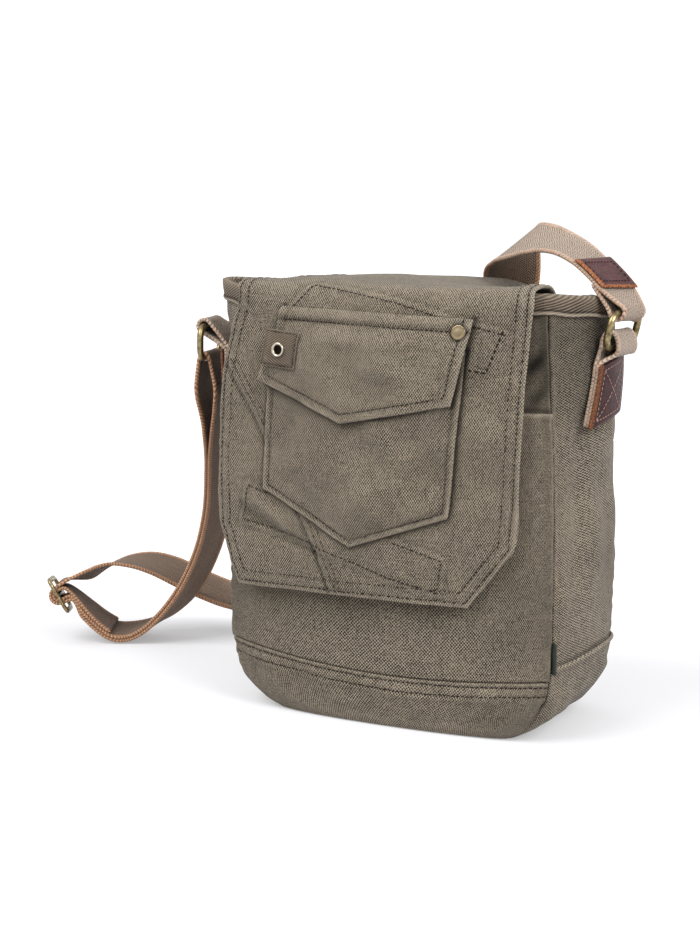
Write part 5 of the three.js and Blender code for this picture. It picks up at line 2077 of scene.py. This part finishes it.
@dataclass
class ShoulderStrap:
    """One length of webbing from the right ring, behind the bag, through the slider and the left ring."""

    finishes: Finishes
    right: Hang
    left: Hang
    slider: Slider
    over_rows: Rows = (
        (128.5, 2.5, 276, .26, .97, -.03), (118.5, 5.7, 285, .27, .96, -.02), (108, 8.7, 293, .28, .96, 0),
        (96.7, 11.4, 299.8, .29, .95, .1), (84.5, 15, 303.6, .28, .92, .24), (70.5, 20, 305.3, .32, .83, .44),
        (57, 28, 304.4, .4, .7, .57), (47, 40, 302, .56, .6, .57), (37, 60, 294, .8, .4, .45),
        (29, 76, 277, .97, .1, .2), (24, 81, 254, 1, 0, 0), (12, 86, 220, .95, 0, -.3),
        (-18, 92, 170, .84, 0, -.54), (-66, 99, 113, .72, -.05, -.69), (-120, 112, 66, .6, -.35, -.72),
        (-172, 124, 35, .45, -.72, -.52), (-213, 124, 26, .36, -.87, -.34), (-236, 107, 37, .37, -.86, -.35),
        (-250, 95, 47, .4, -.84, -.37), (-264, 85, 54, .48, -.83, -.26), (-279, 74, 56.5, .55, -.83, -.02),
        (-291, 65, 54.5, .55, -.8, .22), (-301, 55, 49, .48, -.79, .38),
    )
    pair_rows: Rows = (
        (-302, 46, 22.5, .5, -.87, -.02), (-292, 51, 12.5, .47, -.88, -.05), (-282, 56, 5.8, .46, -.88, -.07),
        (-271, 62, 5.6, .44, -.9, -.06), (-260, 66.5, 9.6, .37, -.93, .01), (-247, 71, 18.5, .23, -.97, .09),
        (-230, 75, 37, .08, -.99, .08), (-210, 73, 71, .01, -1, -.07), (-191.5, 58, 110, .02, -.96, -.26),
        (-173, 30, 152, .08, -.92, -.36), (-157.5, 3, 186, .17, -.95, -.24),
        (-152.5, -9, 208, .23, -.97, -.06),
    )
    layer: float = 1.3
    wrap: float = 3.6
    loose: float = 0.9
    spread: float = 6.6
    gather: float = 0.78
    parts: int = 8
    patch_thickness: float = 1.6
    patch_lift: float = 2.55
    patch_end: int = 2
    patch_row: float = 14.8
    pale_reach: float = 130.0

    def stations(self) -> tuple[Array, Array, Array]:
        """Middles, directions across and half widths of the whole strap in order."""
        parts: list[tuple[Array, Array, Array]] = []

        def add(middle: Array, across: Array, wide: float = HALF_WEBBING) -> None:
            """Appends a stretch."""
            middle = np.atleast_2d(middle)
            parts.append((middle, np.broadcast_to(across, middle.shape), np.full(len(middle), wide)))

        gathered = HALF_WEBBING * self.gather
        over, over_w = path_through(self.over_rows, self.parts)
        leave = unit(over[0] - self.right.high)
        out = unit(np.cross(leave, self.right.along))
        out = out if out[0] > 0 else -out
        sewn_back = slice(0, self.parts - 4)
        under = off_path(over[sewn_back], over_w[sewn_back], 2.0 * self.layer, -out)
        add(under[3:][::-1], over_w[sewn_back][3:][::-1])
        add(turn_about(self.right.high, -out, -leave, self.wrap + self.loose), self.right.along, gathered)
        add(over, over_w)

        pair, pair_w = path_through(self.pair_rows, self.parts)
        t = np.linspace(0.0, 1.0, len(pair))
        spread = mix(self.layer, self.spread, smooth((t - 0.82) / 0.18))
        lower, upper = off_path(pair, pair_w, spread), off_path(pair, pair_w, -spread)
        end = off_path(pair, pair_w, -spread - 2.0 * self.layer - 0.2)
        tail = slice(3, 5 * self.parts // 3 + 3)
        slider = self.slider
        bar = math.hypot(slider.bar, slider.thickness) / 2.0 + GAP + WEBBING_THICKNESS / 2.0
        add(slider.at(10.0, 7.0), slider.along)
        add(turn_about(slider.centre, slider.up, slider.out, bar + WEBBING_THICKNESS + GAP), slider.along)
        add(slider.at(7.0, -6.7), slider.along)
        add(lower, pair_w)
        side = unit(lower[-1] - upper[-1])
        add(turn_about(self.left.low, side, UP, self.wrap), self.left.along, gathered)
        add(upper[::-1], pair_w[::-1])
        add(slider.at(7.0, -4.1), slider.along)
        add(turn_about(slider.centre, -slider.up, slider.out, bar), slider.along)
        add(slider.at(7.0, 2.7), slider.along)
        add(end[tail], pair_w[tail])
        middle, across, wide = (np.concatenate(part) for part in zip(*parts))
        return middle, across, wide

    def rows(self, middle: Array, across: Array, wide: Array, marks: Array) -> Array:
        """Station rows with their directions squared to the path."""
        across = squared(across, unit(np.gradient(middle, axis=0)))
        return middle[:, None] + across[:, None] * (marks / marks[-1] * wide[:, None])[..., None]

    def build(self) -> None:
        """Makes and dresses the strap and its leather patch."""
        marks = across_marks()
        rows = self.rows(*self.stations(), marks)
        made = Strip(WEBBING_THICKNESS, bead=0.3, soften=2).mesh(rows, marks, self.paler)
        made.dress("shoulder_strap_webbing", self.finishes.webbing, Slot.WEBBING, "shoulder_strap")
        self.patch(marks)

    def paler(self, at: Spots) -> Array:
        """Pale stretch over the arch, partly fading where the strap sees most sun and partly painted light
        from above.
        """
        return 0.5 * (1.0 - smooth((at.z - self.pale_reach) / 60.0))

    def patch(self, marks: Array) -> None:
        """The leather patch above the right ring, with its stitched border."""
        edges = PatchEdges(-1.0, 3.4, 1.3, 2.2, 0.8, 0.0, 0.4, 0.8)
        count, side = self.patch_end * self.parts + 1, direction(0.6, 0.0, 0.8)
        over, across = (part[:count] for part in path_through(self.over_rows, self.parts))
        middle = off_path(over, across, self.patch_lift, side)
        rows = self.rows(middle, across, np.full(count, HALF_WEBBING), marks)
        made = Strip(self.patch_thickness, step=1.2, soften=0).mesh(rows, marks, edges.raw, edges.dark)
        made.dress("strap_patch_leather", self.finishes.leather, Slot.LEATHER, "strap_patch")
        top = off_path(over, across, self.patch_lift + self.patch_thickness / 2.0, side)
        at, index = np.linspace(3.0, count - 4.0, 40), np.arange(count)
        path, reach = read_line(at, index, top), read_line(at, index, across) * self.patch_row
        border = [path + reach, path - reach]
        caps = [np.linspace(border[0][k], border[1][k], 20) for k in (0, -1)]
        lines = [(line, np.broadcast_to(side, line.shape)) for line in (*border, *caps)]
        made = Stitching(length=2.4, pitch=3.2, seed=17).mesh(lines)
        made.dress("strap_patch_stitching", self.finishes.plum_thread, Slot.LEATHER)


@dataclass
class SideLabel:
    """Small plain folded ribbon caught in the right front seam."""

    finishes: Finishes
    body: BagBody
    place: float = 0.012
    z: float = 57.0
    reach: float = 5.0
    height: float = 19.0
    half_thickness: float = 0.16

    def build(self) -> None:
        """Makes and dresses the ribbon."""
        corner = self.body.point(Side.RIGHT, self.place, self.z, 0.6)
        out, side = direction(1.0, -1.0, 0.0), direction(1.0, 1.0, 0.0)
        fold = np.linspace(0.0, 1.0, 25)
        along = np.where(fold < 0.5, fold, 1.0 - fold) * 2.0 * self.reach
        lift = np.where(fold < 0.5, -1.0, 1.0) * 0.35 * np.sqrt(clamp01((self.reach - along) / 0.8 + 0.02))
        heights = np.linspace(-self.height / 2.0, self.height / 2.0, 15)[:, None]
        bend = 0.5 * np.sin(along / self.reach * 2.0)
        grid = corner + along[:, None] * out + (lift + bend)[:, None] * side + heights[..., None] * UP
        flat = beside(fold * 2.0 * self.reach, heights)
        half = np.full(grid.shape[:2], self.half_thickness)
        made = closed_sheet(grid, grid_normals(grid), half, flat, {})
        made.dress("side_label_ribbon", self.finishes.ribbon, Slot.LABEL, "side_label")


# Studio

@dataclass
class Studio:
    """White floor, wide soft lamps, white surroundings and the camera."""

    camera_at: tuple[float, float, float] = (0.48166, -1.04973, 0.33581)
    camera_view: tuple[float, float, float] = (-0.4488, 0.8808, -0.1513)
    focal_pixels: float = 1800.0
    image_height: float = 933.0
    sensor: float = 36.0
    floor_reach: float = 14.0
    surroundings: float = 1.02

    def build(self) -> None:
        """Makes the stage, the lights and the camera."""
        self.floor()
        self.sky()
        self.lamp("key_lamp", (-0.55, -0.75, 1.0), 40.0, 2.6)
        self.lamp("side_lamp", (1.0, -0.35, 0.75), 40.0, 3.0)
        scene = bpy.context.scene
        scene.view_settings.view_transform = "Standard"
        data = bpy.data.cameras.new("photo_camera")
        data.sensor_width = self.sensor
        data.lens = self.focal_pixels / self.image_height * self.sensor
        camera = bpy.data.objects.new("photo_camera", data)
        camera.location = self.camera_at
        camera.rotation_euler = Vector(self.camera_view).to_track_quat("-Z", "Y").to_euler()
        scene.collection.objects.link(camera)
        scene.camera = camera

    def floor(self) -> None:
        """The white floor."""
        reach, count = self.floor_reach / MM / 2.0, 9
        places = np.linspace(-reach, reach, count)
        flat = np.stack(np.meshgrid(places, places), axis=-1)
        points = np.concatenate([flat, 0.0 * flat[..., :1]], axis=-1)
        made = Mesh.of_grid(points, [grid_faces(count, count)], flat)
        made.piece("studio_floor", FloorFinish().material())

    def sky(self) -> None:
        """Even white surroundings."""
        world = bpy.data.worlds.new("studio_white")
        world.use_nodes = True
        back = world.node_tree.nodes["Background"]
        back.inputs["Color"].default_value = (1.0, 1.0, 1.0, 1.0)
        back.inputs["Strength"].default_value = self.surroundings
        bpy.context.scene.world = world

    def lamp(self, name: str, place: Sequence[float], wide: float, power: float) -> None:
        """A far, wide lamp that shines from a direction, so many degrees across."""
        data = bpy.data.lights.new(name, "SUN")
        data.angle = math.radians(wide)
        data.energy = power
        made = bpy.data.objects.new(name, data)
        made.rotation_euler = (-Vector(place)).to_track_quat("-Z", "Y").to_euler()
        bpy.context.scene.collection.objects.link(made)


def main() -> None:
    """Builds the bag piece by piece, then the studio."""
    logging.basicConfig(level=logging.INFO, format="%(message)s")
    finishes = Finishes()
    body = BagBody(finishes)
    body.build()
    MouthBinding(finishes, body).build()
    flap = Flap(finishes)
    flap_cloth = flap.build()
    pocket = FlapPocket(finishes, flap)
    pocket.build()
    PocketHardware(finishes, pocket).build()
    right = Hang(np.array([131.0, -2.0, 242.3]), direction(0.06, 0.997, -0.014), direction(0.231, 0.0, 0.973))
    left = Hang(np.array([-153.0, -12.0, 225.5]), direction(0.24, -0.97, 0.0), direction(0.02, 0.0, 1.0))
    RingMount(
        finishes, body, Side.RIGHT, right, middle=-3.0, turn=1.0, out=direction(0.998, -0.06, 0.0),
        roll_bar=right.low, roll_tilt=0.0, roll_radius=5.6, roll_more=0.9, roll_rise=1.8,
    ).build()
    RingMount(
        finishes, body, Side.LEFT, left, middle=-8.0, turn=-1.0, out=direction(-0.97, -0.24, 0.0),
        roll_bar=left.high, roll_tilt=0.64, roll_radius=4.5, roll_more=0.0, roll_rise=1.0,
    ).build()
    place, along = np.array([-318.0, 37.0, 34.5]), direction(0.52, -0.84, 0.15)
    slider = Slider(finishes, place, along, np.array([-0.85, -0.53, -0.58]))
    slider.build()
    ShoulderStrap(finishes, right, left, slider).build()
    SideLabel(finishes, body).build()
    length = flap.end - flap.low
    length * MM
    Studio().build()


if __name__ == "__main__":
    main()
